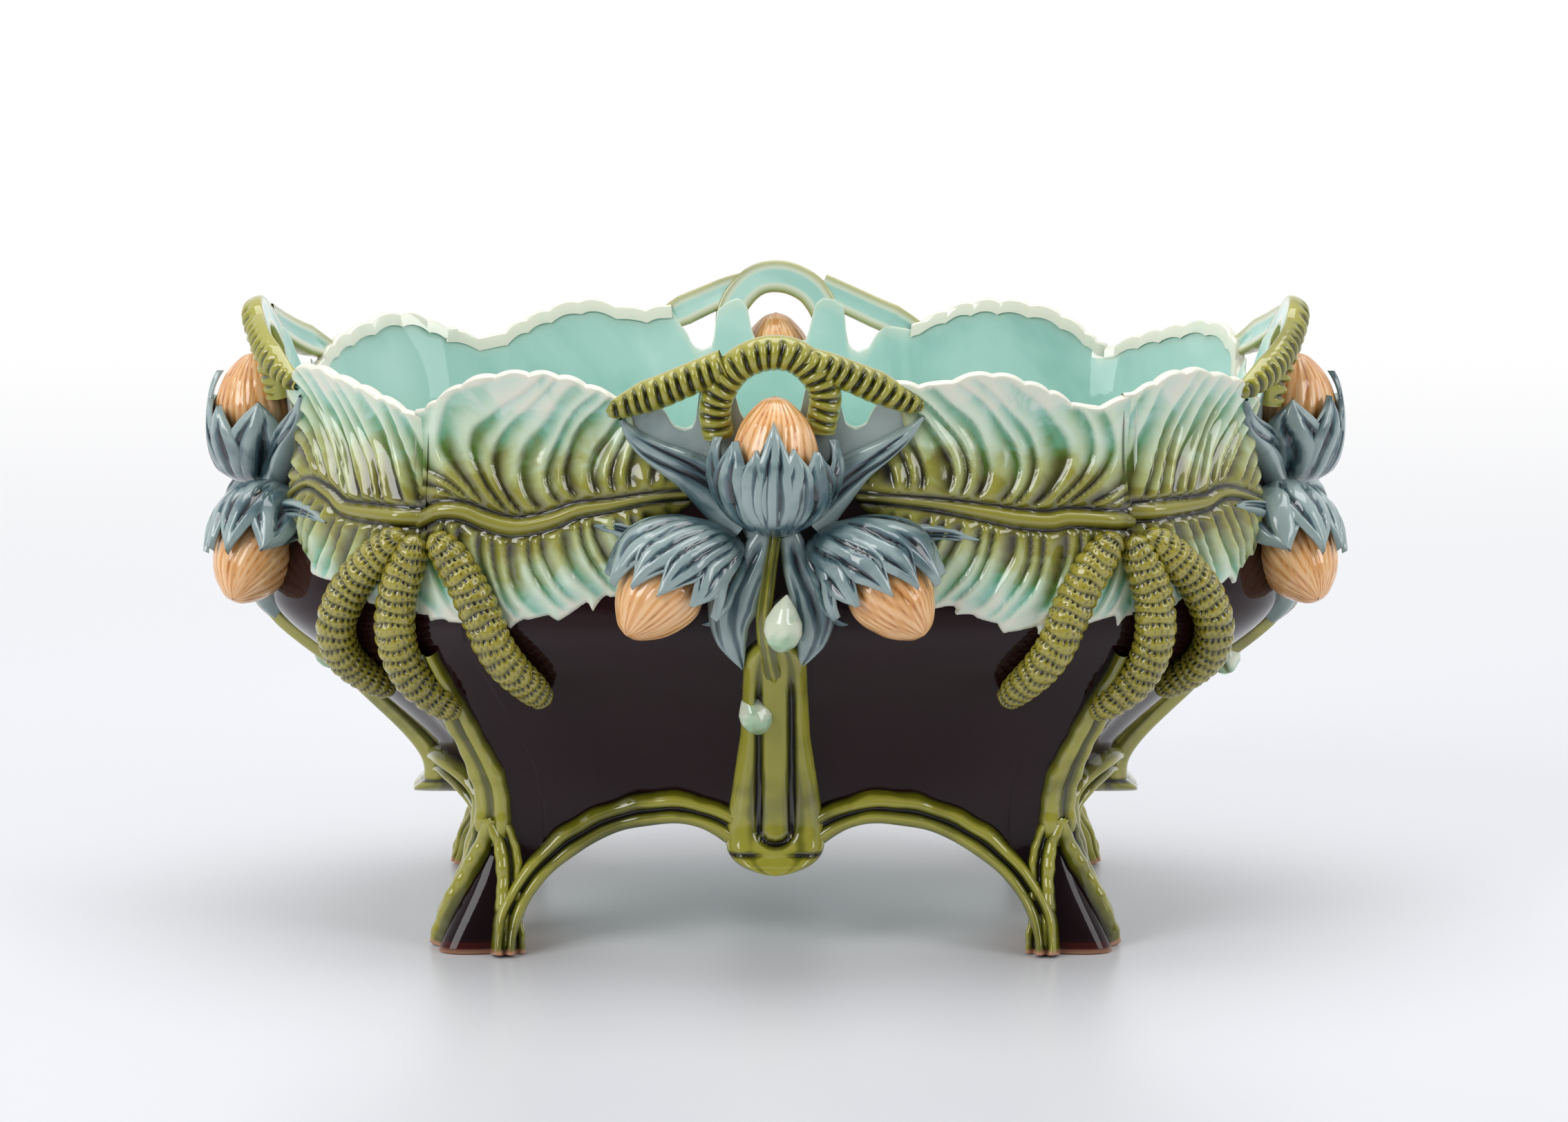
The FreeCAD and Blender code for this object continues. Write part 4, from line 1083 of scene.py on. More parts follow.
    def build(self, kiln: Dict[str, bpy.types.Material], name: str, turned: bool) -> bpy.types.Object:
        """Presses the leaf.

        Args:
            kiln: Materials by name.
            name: The CAD node it stands for.
            turned: Whether it lies on the far half of the bowl.

        Returns:
            The leaf.
        """
        outline, free, rim_count = self.outline()
        place, faces = fill_outline(outline, self.spacing)
        height, values = self.surface(place, free)
        rim = outline[:rim_count]
        gap = line_distance(place, rim)
        height = np.where(gap < 1e-4, np.maximum(height, 0.8), height)
        values["edge"] = np.maximum(values["edge"], 0.6 * (1 - smooth_step(gap, 0.0, 2.0)))
        shift = HALF_TURN if turned else 0.0
        clay = Clay()
        clay.add(WALL.relief(place[:, 0] + shift, place[:, 1], height), faces, **values)
        rim_height = self.surface(rim, free)[0]
        rim_height = np.maximum(rim_height, 0.8)
        turn = np.linspace(0.0, math.pi, 9)[:, None]
        inner = -2.2
        middle, reach = (rim_height + inner) / 2, (rim_height - inner) / 2
        roll_z = rim[:, 1] + 0.9 * np.sin(turn)
        roll = WALL.relief(rim[:, 0] + shift + 0 * turn, roll_z, middle + reach * np.cos(turn))
        tuck = WALL.relief(rim[:, 0] + shift, rim[:, 1] - 4.0, np.full(len(rim), inner - 0.2))[None]
        fade = np.concatenate([np.full(roll_z.shape, 0.65), np.full((1, len(rim)), 0.3)])
        clay.net(np.concatenate([roll, tuck]), flip=False, edge=fade, rise=1.0, pool=0.1, rib=0.0)
        return clay.build("relief_" + name, kiln["leaf_glazes_run_together"], (name,), "leaf_glaze")


LEAVES = (
    (Leaf("long_left", LONG_LEFT_RIM, ((-50, 195), (-46, 183), (-36, 172), (-26, 164), (-40, 152)),
          ((-40, 152), (-49, 132), (-57, 129), (-72, 123), (-86, 120), (-100, 118), (-122, 121)),
          ((-27, 164), (-41, 163), (-56, 160), (-67, 158), (-77, 154), (-88, 152), (-98, 154), (-106, 157),
           (-114, 157), (-122, 153)), -CORNER, True, seed=0.3),
     ("leaf_long_front_left", "leaf_long_rear_right")),
    (Leaf("long_right", LONG_RIGHT_RIM, ((40, 150), (27, 163), (35, 172), (44, 184), (38, 202)),
          ((122, 121), (99, 119), (84, 118), (71, 120), (58, 126), (46, 131), (40, 150)),
          ((28, 163), (40, 162), (56, 160), (72, 157), (82, 155), (93, 154), (101, 155), (122, 153)),
          CORNER, True, seed=0.7),
     ("leaf_long_front_right", "leaf_long_rear_left")),
    (Leaf("short_left", SHORT_LEFT_RIM, (),
          ((-121, 121), (-135, 123), (-150, 127), (-164, 131), (-180, 141), (-192, 156), (-192, 182)),
          ((-190, 150), (-174, 160), (-161, 158), (-152, 154), (-135, 154), (-120, 154)), -CORNER, False,
          seed=0.1),
     ("leaf_short_left_end_front", "leaf_short_right_end_rear")),
    (Leaf("short_right", SHORT_RIGHT_RIM, ((192, 184), (192, 148)),
          ((192, 148), (181, 138), (165, 130), (151, 127), (136, 123), (121, 121)),
          ((190, 149), (169, 157), (160, 158), (152, 156), (136, 156), (123, 156)), CORNER, False, seed=0.5),
     ("leaf_short_right_end_front", "leaf_short_left_end_rear")),
)


# ---- twig mouldings and ribs ---------------------------------------------------------------------------


@dataclass
class SweptBand:
    """A moulding of constant section swept along a line on the wall.

    The section is a row of (across, out, pool) places, across measured to the left of the line.
    """

    path: Places
    section: Sequence[Tuple[float, float, float]]
    scale: Places = ((0.0, 1.0), (1.0, 1.0))
    swell: Places = ((0.0, 1.0), (1.0, 1.0))
    steps: int = 110

    def lay(self, clay: Clay, line_to_wall: Callable[[Array, Array], Array]) -> None:
        """Adds the moulding to a piece.

        Args:
            clay: The piece.
            line_to_wall: From the path's own places across and up to distances round the wall.

        Returns:
            Nothing.
        """
        line = smooth_curve(self.path, self.steps)
        share = np.linspace(0.0, 1.0, self.steps)
        distance, z = line_to_wall(line[:, 0], line[:, 1]), line[:, 1]
        stretch = np.linalg.norm(WALL.point(distance + 0.5, z, 0.0) - WALL.point(distance - 0.5, z, 0.0),
                                 axis=-1)
        flat = np.stack([np.gradient(distance) * stretch, np.gradient(z)], axis=1)
        flat /= np.maximum(np.linalg.norm(flat, axis=1, keepdims=True), 1e-9)
        knots = smooth_curve(self.section, 44)
        across, out, pool = knots[:, 0], knots[:, 1], knots[:, 2]
        wide = np.interp(share, *np.transpose(self.scale))[:, None]
        tall = np.interp(share, *np.transpose(self.swell))[:, None]
        wave = 1.0 + 0.04 * np.sin(share * 23.0)[:, None] + 0.03 * np.sin(share * 51.0 + 1.0)[:, None]
        side = across[None, :] * wide * wave
        at = distance[:, None] - flat[:, 1:] * side / stretch[:, None]
        up = np.maximum(z[:, None] + flat[:, :1] * side, 0.05)
        lift = np.where(out > 0, out, 0.0)[None, :] * tall * wave + np.where(out < 0, out, 0.0)[None, :]
        clay.net(WALL.relief(at, up, lift), pool=np.clip(pool, 0, 1)[None, :] + 0 * side,
                 clay=1 - smooth_step(up, 0.8, 1.8))


ARCH_SECTION = ((2.6, -7.2, 0.6), (0.2, -6.6, 0.5), (-1.0, -4.6, 0.4), (-1.2, -1.5, 0.35), (-0.7, 1.8, 0.25),
                (0.5, 4.3, 0.1), (2.4, 5.6, 0.0), (4.0, 5.0, 0.35), (4.9, 3.1, 1.0), (5.6, 3.0, 1.0),
                (6.6, 4.6, 0.3), (8.3, 5.4, 0.0), (9.9, 4.3, 0.1), (10.8, 2.0, 0.5), (11.1, -0.6, 0.9))
RIB_SECTION = ((5.3, -0.6, 0.9), (4.9, 2.2, 0.45), (3.9, 4.3, 0.05), (2.5, 4.9, 0.0), (1.4, 4.0, 0.3),
               (0.7, 3.4, 0.75), (0.0, 3.7, 0.5), (-1.3, 4.8, 0.05), (-3.2, 4.9, 0.0), (-4.6, 3.2, 0.25),
               (-5.3, -0.6, 0.9))
FORK_SECTION = ((4.3, -0.6, 0.9), (3.9, 2.0, 0.3), (3.0, 3.7, 0.0), (1.9, 3.4, 0.3), (1.2, 2.2, 1.0),
                (0.5, 2.3, 0.9), (-0.5, 4.4, 0.1), (-2.2, 5.2, 0.0), (-3.7, 3.4, 0.2), (-4.3, -0.6, 0.9))


@dataclass
class TwigFrame:
    """The olive twig work below the leaves: arches between the feet and a forked rib down each corner."""

    def arches(self, quarter: int) -> Tuple[Clay, Clay]:
        """The two mouldings of one side.

        Args:
            quarter: Which side, counted round from the front.

        Returns:
            The left and the right moulding.
        """
        arch = np.array(END_ARCH if quarter % 2 else FRONT_ARCH, float)
        made = []
        for way in (-1.0, 1.0):
            path = (arch[1:] * (way, 1.0)).tolist()
            section = ARCH_SECTION if way < 0 else tuple((-a, o, p) for a, o, p in ARCH_SECTION)
            flipped = tuple((-a, o, p) for a, o, p in section)
            band = SweptBand(path, flipped, scale=((0, 0.9), (0.2, 1.0), (0.8, 0.95), (1, 0.68)),
                             swell=((0, 1.0), (0.7, 1.0), (1, 1.45)))
            clay = Clay()
            band.lay(clay, lambda h, z: WALL.drawn(quarter, h, z))
            made.append(clay)
        return made[0], made[1]

    def corner(self, distance: float) -> Clay:
        """The rib down one corner.

        Args:
            distance: Distance round the bowl to the corner.

        Returns:
            The rib, its fork and the folded joint above the shield.
        """
        clay = Clay()
        trunk = SweptBand(((0.0, 108.0), (0.0, 84.0), (0.0, 62.0), (0.0, 44.0), (0.0, 36.0)), RIB_SECTION,
                          scale=((0, 0.8), (0.4, 0.95), (0.8, 1.1), (1, 0.9)),
                          swell=((0, 0.9), (0.7, 1.0), (0.92, 1.0), (1, 0.2)), steps=90)
        trunk.lay(clay, lambda s, z: s + distance)
        for way in (-1.0, 1.0):
            path = [(way * s, z) for s, z in
                    ((1.0, 47.0), (3.4, 42.0), (7.4, 31.0), (11.6, 17.0), (15.4, 6.0),
                                              (17.2, -1.0))]
            section = FORK_SECTION if way > 0 else tuple((-a, o, p) for a, o, p in FORK_SECTION)
            leg = SweptBand(path, section, scale=((0, 0.8), (0.2, 1.0), (1, 1.05)),
                            swell=((0, 1.15), (0.3, 1.05), (1, 1.0)), steps=80)
            leg.lay(clay, lambda s, z: s + distance)
        return clay

    def centre(self, quarter: int, toe: float) -> Clay:
        """The flared rib between two arches, with its raised tongue and the stem of the spray above it.

        Args:
            quarter: Which side, counted round from the front.
            toe: Height of the rib's lower end.

        Returns:
            The rib.
        """
        rows, around = 120, 96
        z = toe + (116.0 - toe) * np.linspace(0.0, 1.0, rows)[:, None] ** 1.25
        top_curve = np.sqrt(np.clip(1.0 - np.clip((z - 107.0) / 9.0, 0, 1) ** 2, 0.0, 1.0))
        toe_curve = top_curve * np.sqrt(np.clip(1.0 - (1.0 - np.clip((z - toe) / 11.0, 0, 1)) ** 2, 0.0, 1.0))
        half = np.interp(z[:, 0], (toe, toe + 20, toe + 52, 112, 116), (17.5, 16.5, 12.0, 10.5, 9.5))[:, None]
        half = half * toe_curve
        turn = np.linspace(0.0, 2 * math.pi, around, endpoint=False)[None, :]
        u = np.sign(np.sin(turn)) * np.abs(np.sin(turn)) ** 0.75
        front, rear = np.clip(np.cos(turn), 0, 1) ** 0.5, np.clip(-np.cos(turn), 0, 1) ** 0.5
        across = u * half
        thick = 5.4 + 7.5 * np.exp(-(z - toe) / 12.0)
        low = toe + 12.0 + 4.5
        to_tongue = np.hypot(across, np.minimum(z - low, 0.0))
        groove = np.exp(-(((to_tongue - 5.6) / 1.25) ** 2)) * (1 - smooth_step(z, toe + 66, toe + 84))
        ridge = np.exp(-(((np.abs(u) - 0.74) / 0.17) ** 2)) * 1.2
        lip = np.exp(-(((z - toe - 3.0) / 2.4) ** 2)) * 1.6
        seam = np.exp(-(((z - toe - 7.2) / 1.0) ** 2)) * smooth_step(np.abs(across), 2.0, 9.0)
        stand = front * (thick + ridge + lip) - 3.0 * groove * front - 0.8 * seam * front
        stand = stand + rear * np.where(z < toe + 24, -6.8, -0.6)
        clay = Clay()
        place = WALL.drawn(quarter, across, z + 0 * across)
        pool = np.clip(groove * 1.3 + seam + 0.25 * np.exp(-(((np.abs(u) - 0.5) / 0.1) ** 2))
                       + 0.7 * (1 - smooth_step(front, 0.1, 0.45)) * (rear <= 0), 0, 1)
        clay.net(WALL.relief(place, z + 0 * across, stand), closed=True, pool=pool)
        middle = quarter * WALL.perimeter / 4
        stem = Blade(((0.5, 153), (-0.8, 145), (-2.4, 134), (-3.4, 122), (-1.5, 110), (0.0, 102)),
                     ((0, 2.2), (0.5, 2.8), (1, 4.5)), ((0, 9.5), (0.4, 9.0), (0.8, 8.0), (1, 5.0)), steps=70,
                     around=24)
        stem.lay(clay, middle, lambda t, u, run: (0.5 * rounded(u * 1.5 + 0.5) - 0.2 + 0 * t, 0.8 * np.exp(
            -((np.abs(u) - 0.45) / 0.15) ** 2) + 0 * t))
        return clay

    def build(self, kiln: Dict[str, bpy.types.Material]) -> List[bpy.types.Object]:
        """Models all the twig work.

        Args:
            kiln: Materials by name.

        Returns:
            Arches, corner ribs and centre ribs.
        """
        olive, made = kiln["olive_twig_glaze"], []
        for quarter, side in enumerate(SIDES):
            left, right = self.arches(quarter)
            made.append(left.build("moulded_arch_left_" + side, olive, (f"arch_moulding_left_{side}",),
                                   "olive_glaze"))
            made.append(right.build("moulded_arch_right_" + side, olive, (f"arch_moulding_right_{side}",),
                                    "olive_glaze"))
            toe = 41.0 if quarter % 2 else 26.0
            rib = self.centre(quarter, toe)
            made.append(rib.build("moulded_centre_rib_" + side, olive, (f"centre_rib_{side}",),
                                  "olive_glaze"))
        for name, distance in CORNERS:
            rib = self.corner(distance)
            made.append(rib.build("moulded_corner_rib_" + name, olive, (f"corner_rib_{name}",),
                                  "olive_glaze"))
        return made


SIDES = ("front", "right_end", "rear", "left_end")
CORNERS = (("front_right", CORNER), ("front_left", -CORNER), ("rear_left", CORNER + HALF_TURN),
           ("rear_right", HALF_TURN - CORNER))


# ---- catkins -------------------------------------------------------------------------------------------


def tube(line: Array, radius: Array, around: int, bulge: Callable[[Array, Array, Array], Tuple[Array, Array]],
         out: Array) -> Tuple[Array, Array]:
    """Sweeps a relieved round section along a line in space.

    Args:
        line: Points along the middle, in millimetres.
        radius: Radius at each point.
        around: Points round the section.
        bulge: From share, angle and length to added radius and pooled glaze. Angle 0 faces outward.
        out: Outward direction at each point.

    Returns:
        The net's points and the pooled glaze at each.
    """
    heading = np.gradient(line, axis=0)
    run = np.concatenate([[0.0], np.cumsum(np.linalg.norm(np.diff(line, axis=0), axis=1))])
    heading /= np.linalg.norm(heading, axis=1, keepdims=True)
    face = out - heading * (out * heading).sum(axis=1, keepdims=True)
    face /= np.linalg.norm(face, axis=1, keepdims=True)
    side = np.cross(heading, face)
    turn = np.linspace(-math.pi, math.pi, around, endpoint=False)[None, :]
    share = np.linspace(0.0, 1.0, len(line))[:, None]
    extra, pool = bulge(share + 0 * turn, turn + 0 * share, run[:, None] + 0 * turn)
    reach = radius[:, None] + extra
    ring = face[:, None, :] * np.cos(turn)[..., None] + side[:, None, :] * np.sin(turn)[..., None]
    return line[:, None, :] + ring * reach[..., None], pool


def outward(distance: Array, z: Array) -> Array:
    """Direction straight out of the wall."""
    step = WALL.relief(distance, z, np.full_like(z, 1.0)) - WALL.relief(distance, z, np.zeros_like(z))
    return step / np.linalg.norm(step, axis=-1, keepdims=True)


@dataclass
class Catkins:
    """Three catkins that hang at a corner: ringed, and pricked all over between the rings."""

    radius: float = 7.0
    stand_off: float = 4.5
    pitch: float = 4.0
    pricks: int = 19
    paths: Sequence[Places] = (
        ((116, 149), (109, 142), (101, 131), (94, 118), (89, 104), (88, 91)),
        ((120, 149), (122, 141), (126, 128), (127, 115), (126, 101), (119, 85)),
        ((124, 149), (132, 142), (143, 129), (150, 114), (155, 101), (158, 90)),
    )

    def skin(self, share: Array, turn: Array, run: Array) -> Tuple[Array, Array]:
        """Rings and pricks, as height and pooled glaze.

        Args:
            share: Share of the way along.
            turn: Angle round the spike.
            run: Distance along it.

        Returns:
            Height and pooled glaze.
        """
        wave = run / self.pitch + 0.12 * np.sin(turn * 3 + run * 0.4)
        ring = np.abs(np.sin(math.pi * wave)) ** 0.5
        count = np.floor(wave)
        from_groove = wave - count
        uneven = 1.0 + 0.35 * np.sin(turn * 5 + count * 1.7)
        prick = np.clip(1.25 * np.cos(turn * self.pricks + count * 2.4), 0, 1)
        prick *= np.exp(-(((from_groove - 0.14) / 0.15) ** 2)) * uneven
        second = np.clip(np.cos(turn * self.pricks + count * 2.4 + 1.9), 0, 1)
        second *= np.exp(-(((from_groove - 0.60) / 0.10) ** 2)) * (uneven - 0.3)
        ends = smooth_step(share, 0.0, 0.06) * smooth_step(1 - share, 0.0, 0.05)
        height = (1.15 * (ring - 0.75) - 1.1 * prick - 0.5 * second) * ends
        pool = np.clip(0.8 * (1 - ring) ** 1.2 + 1.5 * prick + 0.8 * second, 0, 1)
        return height, pool

    def cluster(self, middle: float, way: float, seed: float) -> Clay:
        """The catkins of one corner.

        Args:
            middle: Distance round to the middle of the side the paths are drawn from.
            way: 1 for a right-hand corner and -1 for a left-hand one.
            seed: Varies the pricks.

        Returns:
            The piece.
        """
        clay = Clay()
        for path in self.paths:
            points = smooth_curve(path, 150)
            distance, z = middle + way * points[:, 0], points[:, 1]
            share = np.linspace(0.0, 1.0, len(points))
            swell = np.interp(share, (0, .012, .04, .1, .22, .5, .75, .9, .96, .99, 1),
                              (.02, .3, .6, .82, .95, 1, .93, .78, .6, .33, .02))
            stand = self.stand_off + 1.6 - 2.4 * smooth_step(share, 0.75, 1.0)
            line = WALL.relief(distance, z, stand * np.ones_like(z))
            skin, pool = tube(line, self.radius * swell, 84, lambda a, b, c: self.skin(a, b + seed, c),
                              outward(distance, z))
            clay.net(skin, closed=True, flip=way < 0 or True, pool=pool)
        return clay

    def build(self, kiln: Dict[str, bpy.types.Material]) -> List[bpy.types.Object]:
        """Hangs the catkins at all four corners.

        Args:
            kiln: Materials by name.

        Returns:
            One piece per corner.
        """
        made = []
        for index, (name, distance) in enumerate(CORNERS):
            way = 1.0 if name in ("front_right", "rear_left") else -1.0
            middle = distance - way * CORNER
            clay = self.cluster(middle, way, 0.7 * index)
            made.append(clay.build("pricked_catkins_" + name, kiln["catkin_mustard_glaze"],
                                   (f"catkins_{name}",),
                                   "catkin_glaze"))
        return made


# ---- nuts, husks, bracts, buds and handle --------------------------------------------------------------


def seat(base: Array, axis: Array, out: Array) -> Array:
    """A frame whose third axis is the given one and whose first turns towards out. Rows are the axes.

    Args:
        base: Where the frame stands.
        axis: Its third axis, of any length.
        out: Direction that the first axis leans to.

    Returns:
        Four rows: the base, then the three axes.
    """
    third = axis / np.linalg.norm(axis)
    first = out - third * (out @ third)
    first /= np.linalg.norm(first)
    return np.stack([first, np.cross(third, first), third, base])


def placed(points: Array, frame: Array) -> Array:
    """Moves points drawn about the origin into a seat's frame."""
    return points @ frame[:3] + frame[3]


@dataclass
class Spray:
    """Three hazelnuts in cut husks at the middle of a side, with petals, bracts and buds."""

    nut_radius: float = 14.5
    nut_length: float = 34.0
    top_tip: float = 199.0
    top_stand_off: float = 12.0
    side_offset: float = 34.5
    side_height: float = 132.5
    side_stand_off: float = 9.0
    bedding: float = 4.0

    def profile(self, z: Array, extra: float) -> Array:
        """Radius of the nut, grown by extra, at a height above its base.

        Args:
            z: Heights above the nut's base.
            extra: How much wider than the nut.

        Returns:
            A radius per height.
        """
        radius, length = self.nut_radius + extra, self.nut_length
        knots = smooth_curve(((0.3, -extra), (0.42 * radius, 0.015 * length - 0.8 * extra),
                              (0.72 * radius, 0.09 * length - 0.5 * extra), (radius, 0.4 * length),
                              (0.8 * radius, 0.72 * length), (0.36 * radius, 0.94 * length),
                              (0.3, length + extra)), 160)
        return np.interp(z, knots[:, 1], knots[:, 0])

    def husk_profile(self, z: Array) -> Array:
        """Radius of a husk at a height above the nut's base: an urn that closes well below the nut.

        Args:
            z: Heights above the nut's base.

        Returns:
            A radius per height.
        """
        knots = smooth_curve(((0.2, -14.0), (7.0, -12.4), (13.4, -8.0), (18.2, -2.0), (21.0, 5.0),
                              (21.2, 11.0),
                              (19.4, 17.0), (16.8, 23.0), (12.4, 29.0), (6.0, 34.0)), 160)
        return np.interp(z, knots[:, 1], knots[:, 0])

    def seats(self, quarter: int) -> List[Array]:
        """Where the nuts stand: the top one, then left and right.

        Args:
            quarter: The side, counted round from the front.

        Returns:
            A frame per nut.
        """
        middle = quarter * WALL.perimeter / 4
        angle = float(WALL.angle(np.array(middle)))
        out = np.array([math.cos(angle), math.sin(angle), 0.0])
        right, up = np.array([-out[1], out[0], 0.0]), np.array([0.0, 0.0, 1.0])
        top = WALL.point(middle, self.top_tip - self.nut_length, self.top_stand_off)
        frames = [seat(top, up, out)]
        for way in (-1.0, 1.0):
            axis = right * (0.62 * way) - up * 0.7 + out * 0.35
            axis /= np.linalg.norm(axis)
            place = WALL.point(middle + way * self.side_offset, self.side_height, self.side_stand_off)
            frames.append(seat(place - axis * (0.44 * self.nut_length), axis, out))
        return frames

    def nut(self, clay: Clay, frame: Array, seed: float) -> None:
        """Adds a streaked nut.

        Args:
            clay: The piece.
            frame: Its seat.
            seed: Varies the streaks.

        Returns:
            Nothing.
        """
        rows, around = 60, 120
        share = np.linspace(0.0, 1.0, rows)[:, None]
        z = self.nut_length * (0.5 - 0.5 * np.cos(share * math.pi))
        turn = np.linspace(0, 2 * math.pi, around, endpoint=False)[None, :]
        radius = self.profile(z, 0.0)
        streak = rounded(turn * 13 / math.pi + 0.6 * np.sin(share * 5 + seed) + 0.5 * np.sin(turn * 3 + seed),
                         0.5)
        fine = np.sin(turn * 31 + 3 * np.sin(share * 4 + seed * 2) + seed)
        grown = radius - 0.5 * (1 - streak) * np.sin(share * math.pi) ** 0.5 + 0.08 * fine
        pool = np.clip(0.85 * (1 - streak) + 0.18 * fine + 0.15 * np.sin(turn * 7 + share * 6), 0, 1)
        points = np.stack([grown * np.cos(turn), grown * np.sin(turn), z + 0 * turn], axis=-1)
        clay.net(placed(points, frame), closed=True, pool=pool)

    def sepal(self, clay: Clay, frame: Array, turn: float, half: float, reach: float, layer: float,
              curl: float = 0.0, lean: float = 0.0, seed: float = 0.0,
              bend: Tuple[float, float, float] = (0.0, 0.0, 0.0)) -> None:
        """Adds one cut sepal of a husk, wrapped round its nut.

        Args:
            clay: The piece.
            frame: The nut's seat.
            turn: Direction of the sepal's middle, in degrees from outward.
            half: Half its width, in degrees, where it is widest.
            reach: Height of its tip above the nut's base.
            layer: How far it stands off the nut.
            curl: How far its tip bends away.
            lean: How far its tip turns round the nut, in degrees.
            seed: Varies its cuts.
            bend: Where the closed end of the husk moves to, in millimetres.

        Returns:
            Nothing.
        """
        rows, around = 72, 60
        share = np.linspace(0.0, 1.0, rows)[:, None]
        z = -13.8 + (reach + 13.8) * (0.25 * share**2 + 0.75 * share)
        width = np.interp(share[:, 0], (0, 0.12, 0.5, 0.72, 0.86, 0.95, 1.0),
                          (1.4, 1.2, 1.0, 0.78, 0.44, 0.18, 0.02))
        ring = np.linspace(0.0, 2 * math.pi, around, endpoint=False)[None, :]
        u = np.sign(np.sin(ring)) * np.abs(np.sin(ring)) ** 0.85
        front, rear = np.clip(np.cos(ring), 0, 1) ** 0.45, np.clip(-np.cos(ring), 0, 1) ** 0.45
        ragged = 1.0 + 0.06 * np.sin(share * 13 + seed * 3)
        angle = (math.radians(turn) + math.radians(half) * u * width[:, None] * ragged
                 + math.radians(lean) * share**2)
        wander = 0.34 * np.sin(share * 3.4 + seed) + 0.10 * np.sin(share * 9 + 2 * seed)
        cuts = u * (1.35 + 0.3 * math.sin(seed)) * (0.75 + 0.25 * width[:, None]) + wander + 0.5
        deep = 0.085 * (0.5 + np.sin(np.clip(share, 0, 1) * math.pi) ** 0.5)
        groove = np.exp(-((np.abs(cuts - np.round(cuts)) / deep) ** 2))
        groove *= smooth_step(share, 0.1, 0.3) * (1 - smooth_step(share, 0.74, 0.95))
        fine = np.sin(u * 15 + share * 3 + seed) * 0.10
        stand = (layer - 3.2 + front * (1.9 + 0.8 * (1 - u**2)) - 1.9 * groove * front + fine * front
                 - 0.5 * rear)
        stand = stand + curl * share**3 - 0.8 * np.abs(u) ** 3 * front
        radius = np.maximum(self.husk_profile(z) + stand * smooth_step(z, -14.0, -7.0), 0.2)
        radius = radius * (1.0 - 0.17 * np.clip(np.cos(angle), 0, 1))
        pool = np.clip(groove * 1.25 + 0.35 * (1 - smooth_step(front, 0.0, 0.5)) + 0.4
                       * (1 - smooth_step(z, -14.0, -4.0))
                       + 0.12 - 0.35 * smooth_step(share, 0.6, 1.0) + 0 * u, 0, 1)
        points = np.stack([radius * np.cos(angle), radius * np.sin(angle), z + 0 * angle], axis=-1)
        tail = np.clip(-z / 14.0, 0.0, 1.0)[..., None] ** 1.5
        clay.net(placed(points, frame) + tail * np.asarray(bend), closed=True, flip=True, pool=pool)

    def husks(self, quarter: int) -> Clay:
        """Husks round the three nuts, petals beside the top one, and curled tips beside the lower ones.

        Args:
            quarter: Which side, counted round from the front.

        Returns:
            The piece.
        """
        clay = Clay(bedding=self.bedding)
        seats = self.seats(quarter)
        seed = 0.9 * quarter
        for turn, half, reach, layer, curl, lean in (
                (150, 48, 15, 1.6, 0.0, 0), (-150, 48, 15, 1.6, 0.0, 0), (92, 40, 19, 2.2, 0.8, 6),
                (-92, 42, 20, 2.2, 0.8, -6), (-56, 34, 20.5, 2.7, 0.3, 5), (54, 34, 17.0, 2.7, 0.3, -4),
                (26, 28, 18.5, 3.1, 0.0, -4), (-26, 26, 18.0, 3.1, 0.0, 5), (1, 25, 27.5, 3.7, -0.4, -3)):
            self.sepal(clay, seats[0], turn, half, reach, layer, curl, lean, seed + turn)
        out = seats[0][0]
        up, right = seats[0][2], np.cross(seats[0][2], out)
        for way, frame in zip((-1.0, 1.0), seats[1:]):
            for turn, half, reach, layer, curl, lean in (
                    (170, 50, 16, 1.5, 0.0, 0), (112, 44, 21, 1.9, 0.4, 0), (-112, 44, 13, 1.9, 0.4, 0),
                    (66, 34, 25, 2.6, 0.2, 6), (-62, 34, 12, 2.4, 0.4, -4), (34, 28, 23, 3.0, 0.0, 5),
                    (-28, 28, 15, 2.9, 0.0, -4), (3, 24, 20.5, 3.5, 0.0, 3)):
                self.sepal(clay, frame, way * -turn, half, reach, layer, curl, way * -lean, seed + turn + way,
                           tuple(right * (-7.5 * way) + up * -1.5 + out * 2.0))
        middle = quarter * WALL.perimeter / 4

        def cut(t: Array, u: Array, run: Array) -> Tuple[Array, Array]:
            """Long tool marks down a petal, and their pooled glaze.

            Args:
                t: Share of the way down.
                u: Place across, from -1 to 1.
                run: Distance down.

            Returns:
                Height and pooled glaze.
            """
            line = np.exp(-(((u - 0.25 + 0.25 * np.sin(run * 0.09)) / 0.14) ** 2))
            line = (line + np.exp(-(((u + 0.45 - 0.1 * np.sin(run * 0.12)) / 0.12) ** 2)))
            line = line * smooth_step(t, 0.02, 0.2) * (1 - smooth_step(t, 0.7, 0.95))
            return -1.4 * line + 0.8 * np.abs(u) ** 3, np.clip(line * 1.1 - 0.25 * smooth_step(t, 0.6, 1.0),
                                                               0, 1)

